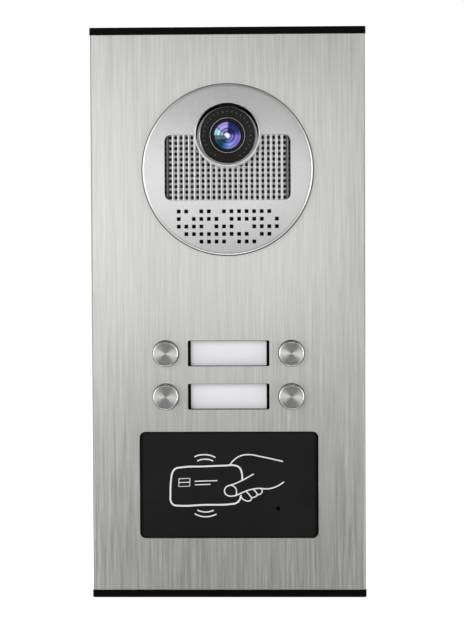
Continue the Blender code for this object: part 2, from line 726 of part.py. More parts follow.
def build_wall_bracket(parts, tools):
    height = BRACKET_TOP - BRACKET_BOTTOM
    middle = (BRACKET_TOP + BRACKET_BOTTOM) / 2
    outline = rounded_outline(BRACKET_WIDTH, height, 0.004, 3, (0.0, middle))
    window = rounded_outline(
        CABLE_WINDOW_WIDTH, CABLE_WINDOW_HEIGHT, 0.003, 3, (0.0, CABLE_WINDOW_Z)
    )
    bracket = plate("wall_bracket", [outline, window], 0.0, BRACKET_THICKNESS, parts)
    stand_on_wall(bracket)
    reach = COVER_FRONT + GAP + BRACKET_THICKNESS
    for x, z in hook_places():
        arm_size = (HOOK_WIDTH, BRACKET_THICKNESS, reach - BRACKET_THICKNESS / 2)
        arm_centre = (x, z, (reach + BRACKET_THICKNESS / 2) / 2)
        join(bracket, box("hook_arm", arm_size, arm_centre, tools), tools)
        tip_size = (HOOK_WIDTH, HOOK_TIP_RISE + BRACKET_THICKNESS / 2, BRACKET_THICKNESS)
        tip_rise = (HOOK_TIP_RISE + BRACKET_THICKNESS / 2) / 2
        tip_centre = (x, z + tip_rise + 0.00001, reach - BRACKET_THICKNESS / 2 - 0.00001)
        join(bracket, box("hook_tip", tip_size, tip_centre, tools), tools)
    tab_reach = BRACKET_TAB_REACH - BRACKET_THICKNESS / 2
    tab_size = (BRACKET_TAB_WIDTH, BRACKET_THICKNESS, tab_reach)
    tab_z = BRACKET_BOTTOM + BRACKET_THICKNESS / 2
    tab_centre = (0.0, tab_z + 0.00001, BRACKET_THICKNESS / 2 + tab_reach / 2)
    join(bracket, box("lock_tab", tab_size, tab_centre, tools), tools)
    low = -BRACKET_BOTTOM - 0.004
    high = -BRACKET_BOTTOM + 0.004
    thread = cylinder(
        "lock_hole", SCREW_RADIUS + GAP, low, high, (0.0, LOCK_SCREW_DEPTH), TINY, tools
    )
    thread.rotation_euler = (pi / 2, 0.0, 0.0)
    cut(bracket, thread, tools)
    for side in (-1, 1):
        for z in BRACKET_HOLE_HEIGHTS:
            place = (side * BRACKET_HOLE_X, z)
            top = 2 * BRACKET_THICKNESS
            hole = cylinder("wall_hole", BRACKET_HOLE_RADIUS, -top, top, place, SMALL, tools)
            cut(bracket, hole, tools)
    finish_piece(bracket, "zinc_steel")


def dome_points(radius, rise, base, steps):
    """(radius, height) points down a shallow dome from its axis to its edge."""
    points = []
    for step in range(steps + 1):
        share = step / steps
        points.append((radius * share, base + rise * (1 - share**2)))
    return points


def boss_places():
    angles = [pi / 4 + index * pi / 2 for index in range(4)]
    return [(BOSS_CIRCLE * cos(a), BOSS_CIRCLE * sin(a)) for a in angles]


def post_places():
    x = GRILLE_WIDTH / 2 + (GRILLE_FRAME_WALL - GRILLE_LEDGE) / 2
    return [(side * x, rise * POST_RISE) for side in (-1, 1) for rise in (-1, 1)]


def bezel_shell(parts):
    """The bezel's domed disc with its skirt, as one turned shell."""
    edge = BEZEL_RADIUS - 0.0008
    outside = dome_points(edge, BEZEL_DOME_RISE, FLANGE_FRONT, 4)
    outside += [(BEZEL_RADIUS, FLANGE_FRONT - 0.0006), (BEZEL_RADIUS, FLANGE_BACK)]
    outside += [(SKIRT_RADIUS, FLANGE_BACK), (SKIRT_RADIUS, SKIRT_REAR)]
    inner_radius = SKIRT_RADIUS - SKIRT_WALL
    outside += [(inner_radius, SKIRT_REAR)]
    inside = dome_points(inner_radius, BEZEL_DOME_RISE, FLANGE_FRONT - BEZEL_WALL, 3)
    return turned("camera_bezel", outside + list(reversed(inside)), ROUND, parts)


def build_camera_bezel(parts, tools):
    bezel = bezel_shell(parts)
    frame_size = (GRILLE_WIDTH + 2 * GRILLE_FRAME_WALL, GRILLE_HEIGHT + 2 * GRILLE_FRAME_WALL)
    rise = (0.0, GRILLE_RISE)
    outline = rounded_outline(*frame_size, GRILLE_CORNER + GRILLE_FRAME_WALL, 3, rise)
    join(bezel, plate("grille_frame", [outline], COLLAR_BACK, GRILLE_SEAT + 0.0004, tools), tools)
    hole = (GRILLE_WIDTH - 2 * GRILLE_LEDGE, GRILLE_HEIGHT - 2 * GRILLE_LEDGE)
    outline = rounded_outline(*hole, GRILLE_CORNER - GRILLE_LEDGE, 3, rise)
    cut(bezel, plate("grille_way", [outline], COLLAR_BACK - 0.002, 0.060, tools), tools)
    outline = rounded_outline(GRILLE_WIDTH, GRILLE_HEIGHT, GRILLE_CORNER, 3, rise)
    cut(bezel, plate("grille_pocket", [outline], GRILLE_SEAT, 0.060, tools), tools)
    lens = (0.0, LENS_RISE)
    collar = cylinder("collar", COLLAR_RADIUS, COLLAR_BACK, COLLAR_FRONT, lens, ROUND, tools)
    join(bezel, collar, tools)
    funnel = cylinder(
        "funnel",
        FUNNEL_BACK_RADIUS,
        RING_SEAT,
        COLLAR_FRONT + 0.0001,
        lens,
        ROUND,
        tools,
        FUNNEL_FRONT_RADIUS,
    )
    cut(bezel, funnel, tools)
    throat = cylinder("throat", THROAT_RADIUS, COLLAR_BACK - 0.001, 0.048, lens, ROUND, tools)
    cut(bezel, throat, tools)
    boss_root = FLANGE_FRONT - BEZEL_WALL / 2
    for x, y in boss_places():
        boss = cylinder("boss", BOSS_RADIUS, SKIRT_REAR + 0.00005, boss_root, (x, y), TINY, tools)
        join(bezel, boss, tools)
        pilot_top = SKIRT_REAR + SMALL_SCREW_LENGTH
        pilot = cylinder(
            "pilot", SMALL_SCREW_RADIUS + GAP, SKIRT_REAR - 0.001, pilot_top, (x, y), TINY, tools
        )
        cut(bezel, pilot, tools)
    for x, y in post_places():
        post = cylinder(
            "post", POST_RADIUS, LED_BOARD_FRONT + GAP, COLLAR_BACK + 0.0005, (x, y), TINY, tools
        )
        join(bezel, post, tools)
    cut(bezel, sound_hole_tool(tools), tools)
    stand_on_wall(bezel, 0.0, BEZEL_Z)
    finish_piece(bezel, "bezel_silver")


def sound_hole_tool(tools):
    """All the square sound holes as one cutter."""
    work = bmesh.new()
    for row, columns in enumerate(SOUND_ROWS):
        y = -SOUND_TOP_DROP - row * SOUND_PITCH
        for column in columns:
            x = (column - (SOUND_COLUMNS - 1) / 2) * SOUND_PITCH
            made = bmesh.ops.create_cube(work, size=1.0)
            bmesh.ops.scale(work, vec=(SOUND_HOLE, SOUND_HOLE, 0.010), verts=made["verts"])
            bmesh.ops.translate(work, vec=(x, y, FLANGE_FRONT), verts=made["verts"])
    return mesh_object("sound_holes", work, tools)


def build_bezel_mounting(parts, tools):
    outer = BEZEL_RADIUS - BEZEL_SEAL_INSET
    profile = [
        (outer, SEAL_BACK + BEZEL_SEAL_THICKNESS),
        (outer, SEAL_BACK),
        (SKIRT_RADIUS + GAP, SEAL_BACK),
        (SKIRT_RADIUS + GAP, SEAL_BACK + BEZEL_SEAL_THICKNESS),
    ]
    seal = turned("bezel_seal", profile, ROUND, parts)
    stand_on_wall(seal, 0.0, BEZEL_Z)
    finish_piece(seal, "rubber")
    washer_front = SKIRT_REAR - GAP
    washer_back = washer_front - RETAINER_THICKNESS
    rim_inner = RETAINER_OUTER_RADIUS - RETAINER_RIM
    profile = [
        (RETAINER_OUTER_RADIUS, BEHIND_WALL),
        (RETAINER_OUTER_RADIUS, washer_back),
        (RETAINER_INNER_RADIUS, washer_back),
        (RETAINER_INNER_RADIUS, washer_front),
        (rim_inner, washer_front),
        (rim_inner, BEHIND_WALL),
    ]
    retainer = turned("bezel_retainer", profile, ROUND, parts)
    for index, (x, y) in enumerate(boss_places()):
        hole = cylinder(
            "retainer_hole",
            SMALL_SCREW_RADIUS + GAP,
            washer_back - 0.001,
            washer_front + 0.001,
            (x, y),
            TINY,
            tools,
        )
        cut(retainer, hole, tools)
        screw = make_screw(
            "bezel_screw_" + str(index + 1),
            SMALL_SCREW_RADIUS,
            SMALL_HEAD_RADIUS,
            SMALL_HEAD_HEIGHT,
            SMALL_SCREW_LENGTH,
            parts,
            tools,
        )
        turn_to_rear(screw, x, BEZEL_Z + y, washer_back - GAP)
        finish_piece(screw, "zinc_steel")
    stand_on_wall(retainer, 0.0, BEZEL_Z)
    finish_piece(retainer, "black_plastic")


def turn_to_rear(screw, x, z, seat):
    """Stands a screw on the wall side of a piece, its tip towards the front."""
    screw.rotation_euler = (-pi / 2, 0.0, 0.0)
    screw.location = (x, -seat, z)


def grille_holes():
    """Upright slot outlines of the grille that clear the lens collar, about the bezel's centre."""
    pitch_x = (GRILLE_WIDTH - 2 * GRILLE_MARGIN) / GRILLE_COLUMNS
    pitch_y = (GRILLE_HEIGHT - 2 * GRILLE_MARGIN) / GRILLE_ROWS
    slot = pitch_y - GRILLE_BAR
    reach = COLLAR_RADIUS + 2 * GRILLE_BAR
    holes = []
    for column in range(GRILLE_COLUMNS):
        x = (column - (GRILLE_COLUMNS - 1) / 2) * pitch_x
        for row in range(GRILLE_ROWS):
            y = GRILLE_RISE + (row - (GRILLE_ROWS - 1) / 2) * pitch_y
            nearest = min(abs(y + slot / 2 - LENS_RISE), abs(y - slot / 2 - LENS_RISE))
            if abs(y - LENS_RISE) < slot / 2:
                nearest = 0.0
            if x * x + nearest * nearest > reach * reach:
                holes.append(square_outline(GRILLE_SLOT_WIDTH, slot, (x, y)))
    return holes


def build_led_grille(parts, tools):
    outline = rounded_outline(
        GRILLE_WIDTH - 2 * GAP,
        GRILLE_HEIGHT - 2 * GAP,
        GRILLE_CORNER - GAP,
        3,
        (0.0, GRILLE_RISE),
    )
    back = GRILLE_SEAT + GAP
    grille = plate("led_grille", [outline, *grille_holes()], back, back + GRILLE_THICKNESS, parts)
    clearance = cylinder(
        "collar_clearance",
        COLLAR_RADIUS + GAP,
        back - 0.001,
        back + 0.003,
        (0.0, LENS_RISE),
        ROUND,
        tools,
    )
    cut(grille, clearance, tools)
    stand_on_wall(grille, 0.0, BEZEL_Z)
    finish_piece(grille, "bezel_silver")


def led_places():
    places = [(side * LED_SIDE_X, rise) for side in (-1, 1) for rise in LED_SIDE_RISES]
    for index in range(LED_ROW_COUNT):
        share = 2 * index / (LED_ROW_COUNT - 1) - 1
        places.append((share * LED_SIDE_X, LED_ROW_RISE))
    return places


def build_led_board(parts, tools):
    width = GRILLE_WIDTH + 2 * GRILLE_FRAME_WALL - 2 * GAP
    top = GRILLE_HEIGHT / 2 - GRILLE_LEDGE
    bottom = LED_ROW_RISE - LED_RADIUS - 2 * GAP
    centre = (0.0, (top + bottom) / 2)
    outline = square_outline(width, top - bottom, centre)
    board = plate("led_board", [outline], LED_BOARD_BACK, LED_BOARD_FRONT, parts)
    clearance = cylinder(
        "board_clearance",
        COLLAR_RADIUS + 2 * GAP,
        LED_BOARD_BACK - 0.001,
        LED_BOARD_FRONT + 0.001,
        (0.0, LENS_RISE),
        MEDIUM,
        tools,
    )
    cut(board, clearance, tools)
    for x, y in led_places():
        root = LED_BOARD_FRONT - BOARD_THICKNESS / 3
        tip = LED_BOARD_FRONT + LED_HEIGHT
        led = cylinder("led", LED_RADIUS, root, tip, (x, y), TINY, tools)
        join(board, led, tools)
    stand_on_wall(board, 0.0, BEZEL_Z)
    finish_piece(board, "circuit_board")


def build_lens_group(parts):
    back = RING_SEAT + GAP
    inner = BARREL_RADIUS + GAP
    outer = FUNNEL_BACK_RADIUS - GAP
    profile = [
        (outer, back + RING_THICKNESS),
        (outer, back),
        (inner, back),
        (inner, back + RING_THICKNESS + 0.0004),
    ]
    ring = turned("lens_ring", profile, ROUND, parts)
    finish_piece(ring, "black_plastic")
    nose_gap = BARREL_NOSE_RADIUS + GAP
    trim_front = BARREL_NOSE_FRONT + 0.0006
    profile = [
        (BARREL_RADIUS, trim_front - 0.0002),
        (BARREL_RADIUS, back),
        (nose_gap, back),
        (nose_gap, trim_front),
        (BARREL_RADIUS - 0.0002, trim_front),
    ]
    trim = turned("lens_trim_ring", profile, ROUND, parts)
    finish_piece(trim, "bright_steel")
    flange_front = COLLAR_BACK - GAP
    flange_back = flange_front - BARREL_FLANGE_THICKNESS
    seat = GLASS_RADIUS + GAP
    profile = [
        (BARREL_NOSE_RADIUS, BARREL_NOSE_FRONT),
        (BARREL_NOSE_RADIUS, RING_SEAT),
        (BARREL_RADIUS, RING_SEAT),
        (BARREL_RADIUS, flange_front),
        (BARREL_FLANGE_RADIUS, flange_front),
        (BARREL_FLANGE_RADIUS, flange_back),
        (BARREL_RADIUS, flange_back),
        (BARREL_RADIUS, BARREL_BACK),
        (APERTURE_RADIUS, BARREL_BACK),
        (APERTURE_RADIUS, GLASS_SEAT),
        (seat, GLASS_SEAT),
        (seat, BARREL_NOSE_FRONT),
    ]
    barrel = turned("lens_barrel", profile, MEDIUM, parts)
    finish_piece(barrel, "black_plastic")
    edge_front = BARREL_NOSE_FRONT - GLASS_RISE
    profile = dome_points(GLASS_RADIUS, GLASS_RISE, edge_front, 4)
    profile += [(GLASS_RADIUS, GLASS_SEAT + GAP), (0.0, GLASS_SEAT + GAP)]
    glass = turned("front_lens", profile, MEDIUM, parts)
    finish_piece(glass, "lens_glass")
    for piece in (ring, trim, barrel, glass):
        stand_on_wall(piece, 0.0, LENS_Z)


def build_camera_module(parts, tools):
    front = BARREL_BACK - GAP
    back = front - HOUSING_LENGTH
    outline = rounded_outline(HOUSING_SIZE, HOUSING_SIZE, 0.002, 2)
    housing = plate("camera_housing", [outline], back, front, parts)
    room = HOUSING_SIZE - 2 * HOUSING_WALL
    outline = square_outline(room, room, (0.0, 0.0))
    hollow = plate("housing_room", [outline], back - 0.001, front - HOUSING_WALL, tools)
    cut(housing, hollow, tools)
    light_way = cylinder(
        "light_way", APERTURE_RADIUS, back, front + 0.001, (0.0, 0.0), SMALL, tools
    )
    cut(housing, light_way, tools)
    finish_piece(housing, "black_plastic")
    board_front = back - GAP
    outline = rounded_outline(HOUSING_SIZE, HOUSING_SIZE, 0.002, 2)
    board = plate(
        "camera_board", [outline], board_front - BOARD_THICKNESS, board_front, parts
    )
    finish_piece(board, "circuit_board")
    size = (SENSOR_SIZE, SENSOR_SIZE, SENSOR_THICKNESS)
    sensor = box("image_sensor", size, (0.0, 0.0, back + SENSOR_THICKNESS / 2), parts)
    finish_piece(sensor, "dark_metal")
    for piece in (housing, board, sensor):
        stand_on_wall(piece, 0.0, LENS_Z)


def build_speaker(parts):
    rim_back = SPEAKER_RIM_FRONT - SPEAKER_RIM
    rear = SPEAKER_RIM_FRONT - SPEAKER_DEPTH
    basket = rim_back - (SPEAKER_RADIUS - MAGNET_RADIUS)
    mouth = SPEAKER_RADIUS - GASKET_WALL
    profile = [
        (0.0, rim_back - 0.003),
        (MAGNET_RADIUS * 0.5, rim_back - 0.003),
        (mouth, rim_back + 0.0002),
        (mouth, SPEAKER_RIM_FRONT),
        (SPEAKER_RADIUS, SPEAKER_RIM_FRONT),
        (SPEAKER_RADIUS, rim_back),
        (MAGNET_RADIUS, basket),
        (MAGNET_RADIUS, rear),
        (0.0, rear),
    ]
    frame = turned("speaker_frame", profile, MEDIUM, parts)
    finish_piece(frame, "dark_metal")
    cone_edge = mouth - GAP
    dip = SPEAKER_RIM_FRONT - 0.0022
    film = 0.0005
    profile = [
        (0.0, dip + 0.001),
        (cone_edge * 0.3, dip + 0.0006),
        (cone_edge * 0.4, dip),
        (cone_edge, SPEAKER_RIM_FRONT - 0.0001),
        (cone_edge, SPEAKER_RIM_FRONT - 0.0001 - film),
        (cone_edge * 0.4, dip - film),
        (0.0, dip - film),
    ]
    cone = turned("speaker_cone", profile, MEDIUM, parts)
    finish_piece(cone, "paper_cone")
    back = SPEAKER_RIM_FRONT + GAP
    profile = [
        (SPEAKER_RADIUS, GASKET_FRONT),
        (SPEAKER_RADIUS, back),
        (SPEAKER_RADIUS - GASKET_WALL, back),
        (SPEAKER_RADIUS - GASKET_WALL, GASKET_FRONT),
    ]
    gasket = turned("speaker_gasket", profile, MEDIUM, parts)
    finish_piece(gasket, "rubber")
    for piece in (frame, cone, gasket):
        stand_on_wall(piece, 0.0, SPEAKER_Z)


def build_microphone(parts):
    """The microphone looks down through a port in the bottom cap."""
    floor = -CAP_INNER_Z + GAP
    outer = MICROPHONE_RADIUS + GAP + BOOT_WALL
    top = floor + BOOT_WALL + MICROPHONE_LENGTH + BOOT_WALL
    seat = floor + BOOT_WALL
    profile = [
        (outer, top),
        (outer, floor),
        (SOUND_PORT_RADIUS, floor),
        (SOUND_PORT_RADIUS, seat - GAP),
        (MICROPHONE_RADIUS + GAP, seat - GAP),
        (MICROPHONE_RADIUS + GAP, top),
    ]
    boot = turned("microphone_boot", profile, SMALL, parts)
    boot.location = (0.0, -MICROPHONE_DEPTH, 0.0)
    finish_piece(boot, "rubber")
    capsule = cylinder(
        "microphone",
        MICROPHONE_RADIUS,
        seat,
        seat + MICROPHONE_LENGTH,
        (0.0, 0.0),
        SMALL,
        parts,
    )
    capsule.location = (0.0, -MICROPHONE_DEPTH, 0.0)
    finish_piece(capsule, "bright_steel")


def button_places():
    """World (x, z) of the four call buttons: left column first, top to bottom."""
    return [(side * BUTTON_X, z) for side in (-1, 1) for z in ROW_HEIGHTS]


def build_call_button(number, x, z, parts, tools):
    face = BUTTON_FACE - PANEL_DEPTH
    profile = [
        (0.0, face),
        (BUTTON_RADIUS - BUTTON_BEVEL, face),
        (BUTTON_RADIUS, face - BUTTON_BEVEL),
        (BUTTON_RADIUS, BEHIND_WALL - PANEL_DEPTH),
        (BUTTON_RADIUS + BUTTON_FLANGE, BEHIND_WALL - PANEL_DEPTH),
        (BUTTON_RADIUS + BUTTON_FLANGE, BUTTON_FLANGE_BACK - PANEL_DEPTH),
        (STEM_RADIUS, BUTTON_FLANGE_BACK - PANEL_DEPTH),
        (STEM_RADIUS, STEM_END - PANEL_DEPTH),
        (0.0, STEM_END - PANEL_DEPTH),
    ]
    cap = turned("button_cap_" + str(number), profile, MEDIUM, parts)
    stand_on_wall(cap, x, z, PANEL_DEPTH)
    finish_piece(cap, "bright_steel")
    spring = coil_spring("button_spring_" + str(number), parts)
    stand_on_wall(spring, x, z)
    finish_piece(spring, "bright_steel", pi)
    base = BUTTON_BOARD_FRONT + GAP
    size = (SWITCH_SIZE, SWITCH_SIZE, SWITCH_HEIGHT)
    switch = box("button_switch_" + str(number), size, (0.0, 0.0, base + SWITCH_HEIGHT / 2), parts)
    root = base + SWITCH_HEIGHT / 2
    plunger = cylinder("plunger", PLUNGER_RADIUS, root, PLUNGER_TOP, (0.0, 0.0), TINY, tools)
    join(switch, plunger, tools)
    stand_on_wall(switch, x, z)
    finish_piece(switch, "black_plastic")


def coil_spring(name, parts):
    """The return spring between the carrier and the button's flange, along its own Z."""
    low = CARRIER_FRONT + GAP + SPRING_WIRE
    high = BUTTON_FLANGE_BACK - GAP - SPRING_WIRE
    count = SPRING_TURNS * SPRING_STEPS
    curve = bpy.data.curves.new(name, "CURVE")
    curve.dimensions = "3D"
    curve.bevel_depth = SPRING_WIRE
    curve.bevel_resolution = 1
    curve.use_fill_caps = True
    spline = curve.splines.new("POLY")
    spline.points.add(count)
    for index, point in enumerate(spline.points):
        angle = 2 * pi * index / SPRING_STEPS
        height = low + (high - low) * index / count
        point.co = (SPRING_RADIUS * cos(angle), SPRING_RADIUS * sin(angle), height, 1.0)
    piece = link_object(name, curve, parts)
    bpy.context.view_layer.update()
    return mesh_from_curve(piece, parts)


def carrier_post_places():
    x = CARRIER_WIDTH / 2 - CARRIER_POST_INSET
    top = CARRIER_TOP - CARRIER_POST_INSET
    bottom = CARRIER_BOTTOM + CARRIER_POST_INSET
    return [(side * x, z) for side in (-1, 1) for z in (top, bottom)]


def board_screw_places():
    places = carrier_post_places()
    return [places[0], places[3]]


def build_button_carrier(parts, tools):
    height = CARRIER_TOP - CARRIER_BOTTOM
    middle = (CARRIER_TOP + CARRIER_BOTTOM) / 2
    outline = rounded_outline(CARRIER_WIDTH, height, 0.002, 2, (0.0, middle))
    carrier = plate("button_carrier", [outline], CARRIER_BACK, CARRIER_FRONT, parts)
    stand_on_wall(carrier)
    for x, z in button_places():
        guide = cylinder(
            "guide",
            STEM_RADIUS + SLIDE_GAP,
            CARRIER_BACK - 0.001,
            CARRIER_FRONT + 0.001,
            (x, z),
            SMALL,
            tools,
        )
        cut(carrier, guide, tools)
    rear = BUTTON_BOARD_FRONT + GAP
    for place in carrier_post_places():
        post = cylinder(
            "carrier_post", CARRIER_POST_RADIUS, rear, BEHIND_WALL, place, TINY, tools
        )
        join(carrier, post, tools)
    for place in board_screw_places():
        pilot = cylinder(
            "carrier_pilot",
            SMALL_SCREW_RADIUS + GAP,
            rear - 0.001,
            BUTTON_BOARD_BACK + SMALL_SCREW_LENGTH,
            place,
            TINY,
            tools,
        )
        cut(carrier, pilot, tools)
    finish_piece(carrier, "black_plastic")
    board = plate("button_board", [outline], BUTTON_BOARD_BACK, BUTTON_BOARD_FRONT, parts)
    stand_on_wall(board)
    for number, place in enumerate(board_screw_places()):
        hole = cylinder(
            "board_hole",
            SMALL_SCREW_RADIUS + GAP,
            BUTTON_BOARD_BACK - 0.001,
            BUTTON_BOARD_FRONT + 0.001,
            place,
            TINY,
            tools,
        )
        cut(board, hole, tools)
        screw = make_screw(
            "board_screw_" + str(number + 1),
            SMALL_SCREW_RADIUS,
            SMALL_HEAD_RADIUS,
            SMALL_HEAD_HEIGHT,
            SMALL_SCREW_LENGTH,
            parts,
            tools,
        )
        turn_to_rear(screw, *place, BUTTON_BOARD_BACK - GAP)
        finish_piece(screw, "zinc_steel")
    finish_piece(board, "circuit_board")


def build_name_window(label, z, parts, tools):
    outline = rounded_outline(
        WINDOW_WIDTH + 2 * WINDOW_FLANGE, WINDOW_HEIGHT + 2 * WINDOW_FLANGE, 0.001, 2
    )
    window = plate("label_window_" + label, [outline], WINDOW_FLANGE_BACK, BEHIND_WALL, parts)
    outline = rounded_outline(
        WINDOW_WIDTH - 2 * GAP, WINDOW_HEIGHT - 2 * GAP, WINDOW_CORNER - GAP, 2
    )
    face = plate(
        "window_face", [outline], WINDOW_FLANGE_BACK + 0.0004, PANEL_DEPTH - WINDOW_SUNK, tools
    )
    join(window, face, tools)
    stand_on_wall(window, 0.0, z)
    finish_piece(window, "clear_plastic")
    size = (CARD_WIDTH, CARD_HEIGHT, CARD_THICKNESS)
    card = box("name_card_" + label, size, (0.0, 0.0, CARD_BACK + CARD_THICKNESS / 2), parts)
    stand_on_wall(card, 0.0, z)
    finish_piece(card, "white_card")
    tray_width = WINDOW_WIDTH + 2 * WINDOW_FLANGE - 2 * GAP
    tray_height = WINDOW_HEIGHT + 2 * WINDOW_FLANGE - 2 * GAP
    size = (tray_width, tray_height, TRAY_DEPTH)
    tray = box("label_tray_" + label, size, (0.0, 0.0, TRAY_FRONT - TRAY_DEPTH / 2), parts)
    pocket_floor = CARD_BACK - GAP
    pocket = box(
        "card_pocket",
        (CARD_WIDTH + 2 * GAP, CARD_HEIGHT + 2 * GAP, 0.004),
        (0.0, 0.0, pocket_floor + 0.002),
        tools,
    )
    cut(tray, pocket, tools)
    stand_on_wall(tray, 0.0, z)
    finish_piece(tray, "black_plastic")


def build_card_reader(parts, tools):
    flange_back = BEHIND_WALL - READER_FLANGE_THICKNESS
    outline = rounded_outline(
        READER_WIDTH + 2 * READER_FLANGE,
        READER_HEIGHT + 2 * READER_FLANGE,
        READER_CORNER + READER_FLANGE,
        3,
    )
    window = plate("reader_window", [outline], flange_back, BEHIND_WALL, parts)
    outline = rounded_outline(
        READER_WIDTH - 2 * GAP, READER_HEIGHT - 2 * GAP, READER_CORNER - GAP, 4
    )
    face = plate(
        "reader_face", [outline], flange_back + 0.0006, PANEL_DEPTH - READER_SUNK, tools
    )
    join(window, face, tools)
    dot = cylinder(
        "indicator_hole", READER_DOT_RADIUS, 0.030, 0.050, READER_DOT, TINY, tools
    )
    cut(window, dot, tools)
    stand_on_wall(window, 0.0, READER_Z)
    finish_piece(window, "black_plastic")
    outline = rounded_outline(ANTENNA_WIDTH, ANTENNA_HEIGHT, 0.002, 2)
    board = plate(
        "antenna_board", [outline], ANTENNA_FRONT - BOARD_THICKNESS, ANTENNA_FRONT, parts
    )
    stand_on_wall(board, 0.0, READER_Z)
    finish_piece(board, "circuit_board")
    track_back = ANTENNA_FRONT + GAP
    outer = rounded_outline(ANTENNA_WIDTH - 0.004, ANTENNA_HEIGHT - 0.004, 0.003, 3)
    inner_width = ANTENNA_WIDTH - 0.004 - 2 * ANTENNA_TRACK
    inner_height = ANTENNA_HEIGHT - 0.004 - 2 * ANTENNA_TRACK
    inner = rounded_outline(inner_width, inner_height, 0.001, 3)
    coil = plate(
        "antenna_coil", [outer, inner], track_back, track_back + ANTENNA_TRACK_THICKNESS, parts
    )
    stand_on_wall(coil, 0.0, READER_Z)
    finish_piece(coil, "copper")
    led = cylinder(
        "status_led",
        READER_DOT_RADIUS * 2,
        ANTENNA_FRONT + GAP,
        flange_back - GAP,
        READER_DOT,
        TINY,
        parts,
    )
    stand_on_wall(led, 0.0, READER_Z)
    finish_piece(led, "led_clear")


def build_main_electronics(parts, tools):
    width = 2 * (INNER_HALF - SLIDE_GAP)
    height = MAIN_BOARD_TOP - MAIN_BOARD_BOTTOM
    middle = (MAIN_BOARD_TOP + MAIN_BOARD_BOTTOM) / 2
    outline = square_outline(width, height, (0.0, middle))
    board = plate("main_board", [outline], MAIN_BOARD_BACK, MAIN_BOARD_FRONT, parts)
    stand_on_wall(board)
    finish_piece(board, "circuit_board")
    block_front = MAIN_BOARD_BACK - GAP
    depth = block_front - TERMINAL_BACK
    size = (TERMINAL_WIDTH, TERMINAL_HEIGHT, depth)
    block = box("terminal_block", size, (0.0, 0.0, TERMINAL_BACK + depth / 2), parts)
    pitch = TERMINAL_WIDTH / TERMINAL_WAYS
    for way in range(TERMINAL_WAYS):
        x = (way - (TERMINAL_WAYS - 1) / 2) * pitch
        entry = box(
            "wire_entry",
            (pitch * 0.55, TERMINAL_HEIGHT * 0.5, depth),
            (x, 0.0, TERMINAL_BACK),
            tools,
        )
        cut(block, entry, tools)
    stand_on_wall(block, 0.0, CABLE_WINDOW_Z)
    finish_piece(block, "terminal_green")
    relay_back = MAIN_BOARD_FRONT + GAP
    size = (RELAY_WIDTH, RELAY_HEIGHT, RELAY_RISE)
    relay = box("door_relay", size, (0.0, 0.0, relay_back + RELAY_RISE / 2), parts)
    stand_on_wall(relay, RELAY_X, RELAY_Z)
    finish_piece(relay, "relay_blue")


def build():
    empty_scene()
    parts = new_collection("door_intercom_panel")
    tools = new_collection("cutters_and_joiners")
    build_front_panel(parts, tools)
    build_end_cap("top_end_cap", True, parts, tools)
    build_end_cap("bottom_end_cap", False, parts, tools)
    build_cap_screws(parts, tools)
    build_rear_cover(parts, tools)
    build_wall_bracket(parts, tools)
    build_camera_bezel(parts, tools)
    build_bezel_mounting(parts, tools)
    build_led_grille(parts, tools)
    build_led_board(parts, tools)
    build_lens_group(parts)
    build_camera_module(parts, tools)
    build_speaker(parts)
    build_microphone(parts)
    for number, (x, z) in enumerate(button_places()):
        build_call_button(number + 1, x, z, parts, tools)
    build_button_carrier(parts, tools)
    for label, z in zip(("upper", "lower"), ROW_HEIGHTS):
        build_name_window(label, z, parts, tools)
    build_card_reader(parts, tools)
    build_main_electronics(parts, tools)


build()
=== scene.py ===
import bpy
import json
import math
from mathutils import Matrix, Vector


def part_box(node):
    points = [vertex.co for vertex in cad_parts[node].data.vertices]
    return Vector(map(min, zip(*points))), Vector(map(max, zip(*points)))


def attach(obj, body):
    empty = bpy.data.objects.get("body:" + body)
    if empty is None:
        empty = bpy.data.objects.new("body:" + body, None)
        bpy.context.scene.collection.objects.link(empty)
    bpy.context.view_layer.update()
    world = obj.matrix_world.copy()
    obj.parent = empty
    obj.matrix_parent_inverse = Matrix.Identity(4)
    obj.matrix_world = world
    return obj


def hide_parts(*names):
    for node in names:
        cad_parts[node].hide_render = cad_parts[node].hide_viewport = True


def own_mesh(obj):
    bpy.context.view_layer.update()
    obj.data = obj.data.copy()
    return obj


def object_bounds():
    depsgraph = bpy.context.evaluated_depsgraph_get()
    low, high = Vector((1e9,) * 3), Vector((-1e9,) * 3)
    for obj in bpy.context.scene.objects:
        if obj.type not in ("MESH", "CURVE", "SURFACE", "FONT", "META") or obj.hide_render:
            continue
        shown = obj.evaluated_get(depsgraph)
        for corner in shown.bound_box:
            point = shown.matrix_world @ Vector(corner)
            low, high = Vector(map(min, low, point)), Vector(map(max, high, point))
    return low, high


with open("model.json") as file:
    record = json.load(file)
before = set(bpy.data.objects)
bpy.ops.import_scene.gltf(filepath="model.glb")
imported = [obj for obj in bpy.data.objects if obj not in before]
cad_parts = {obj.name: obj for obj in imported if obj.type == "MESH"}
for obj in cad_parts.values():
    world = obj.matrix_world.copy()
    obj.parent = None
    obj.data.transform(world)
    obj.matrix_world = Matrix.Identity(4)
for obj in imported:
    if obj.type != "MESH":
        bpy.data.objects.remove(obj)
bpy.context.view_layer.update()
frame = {"nodes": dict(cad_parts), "record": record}
nodes = frame["nodes"]
mm = 0.001
weldReach = 0.000002        # points nearer than this are joined, in metres
housing = "housing"
print("frame loaded:", len(nodes), "nodes")


def middle(node):
    low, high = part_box(node)
    return (low + high) / 2


bezelAt = middle("camera_bezel")        # centre of the round bezel
lensAt = middle("lens_ring")        # centre of the lens
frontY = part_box("front_panel")[0].y        # the panel's front plane
readerAt = middle("reader_window")
readerSlope = 3.75 * mm        # from the window's side to where its face starts
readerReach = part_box("reader_window")[1].x - readerAt.x - readerSlope


def leaveEdit():
    if bpy.context.mode != "OBJECT":
        bpy.ops.object.mode_set(mode="OBJECT")


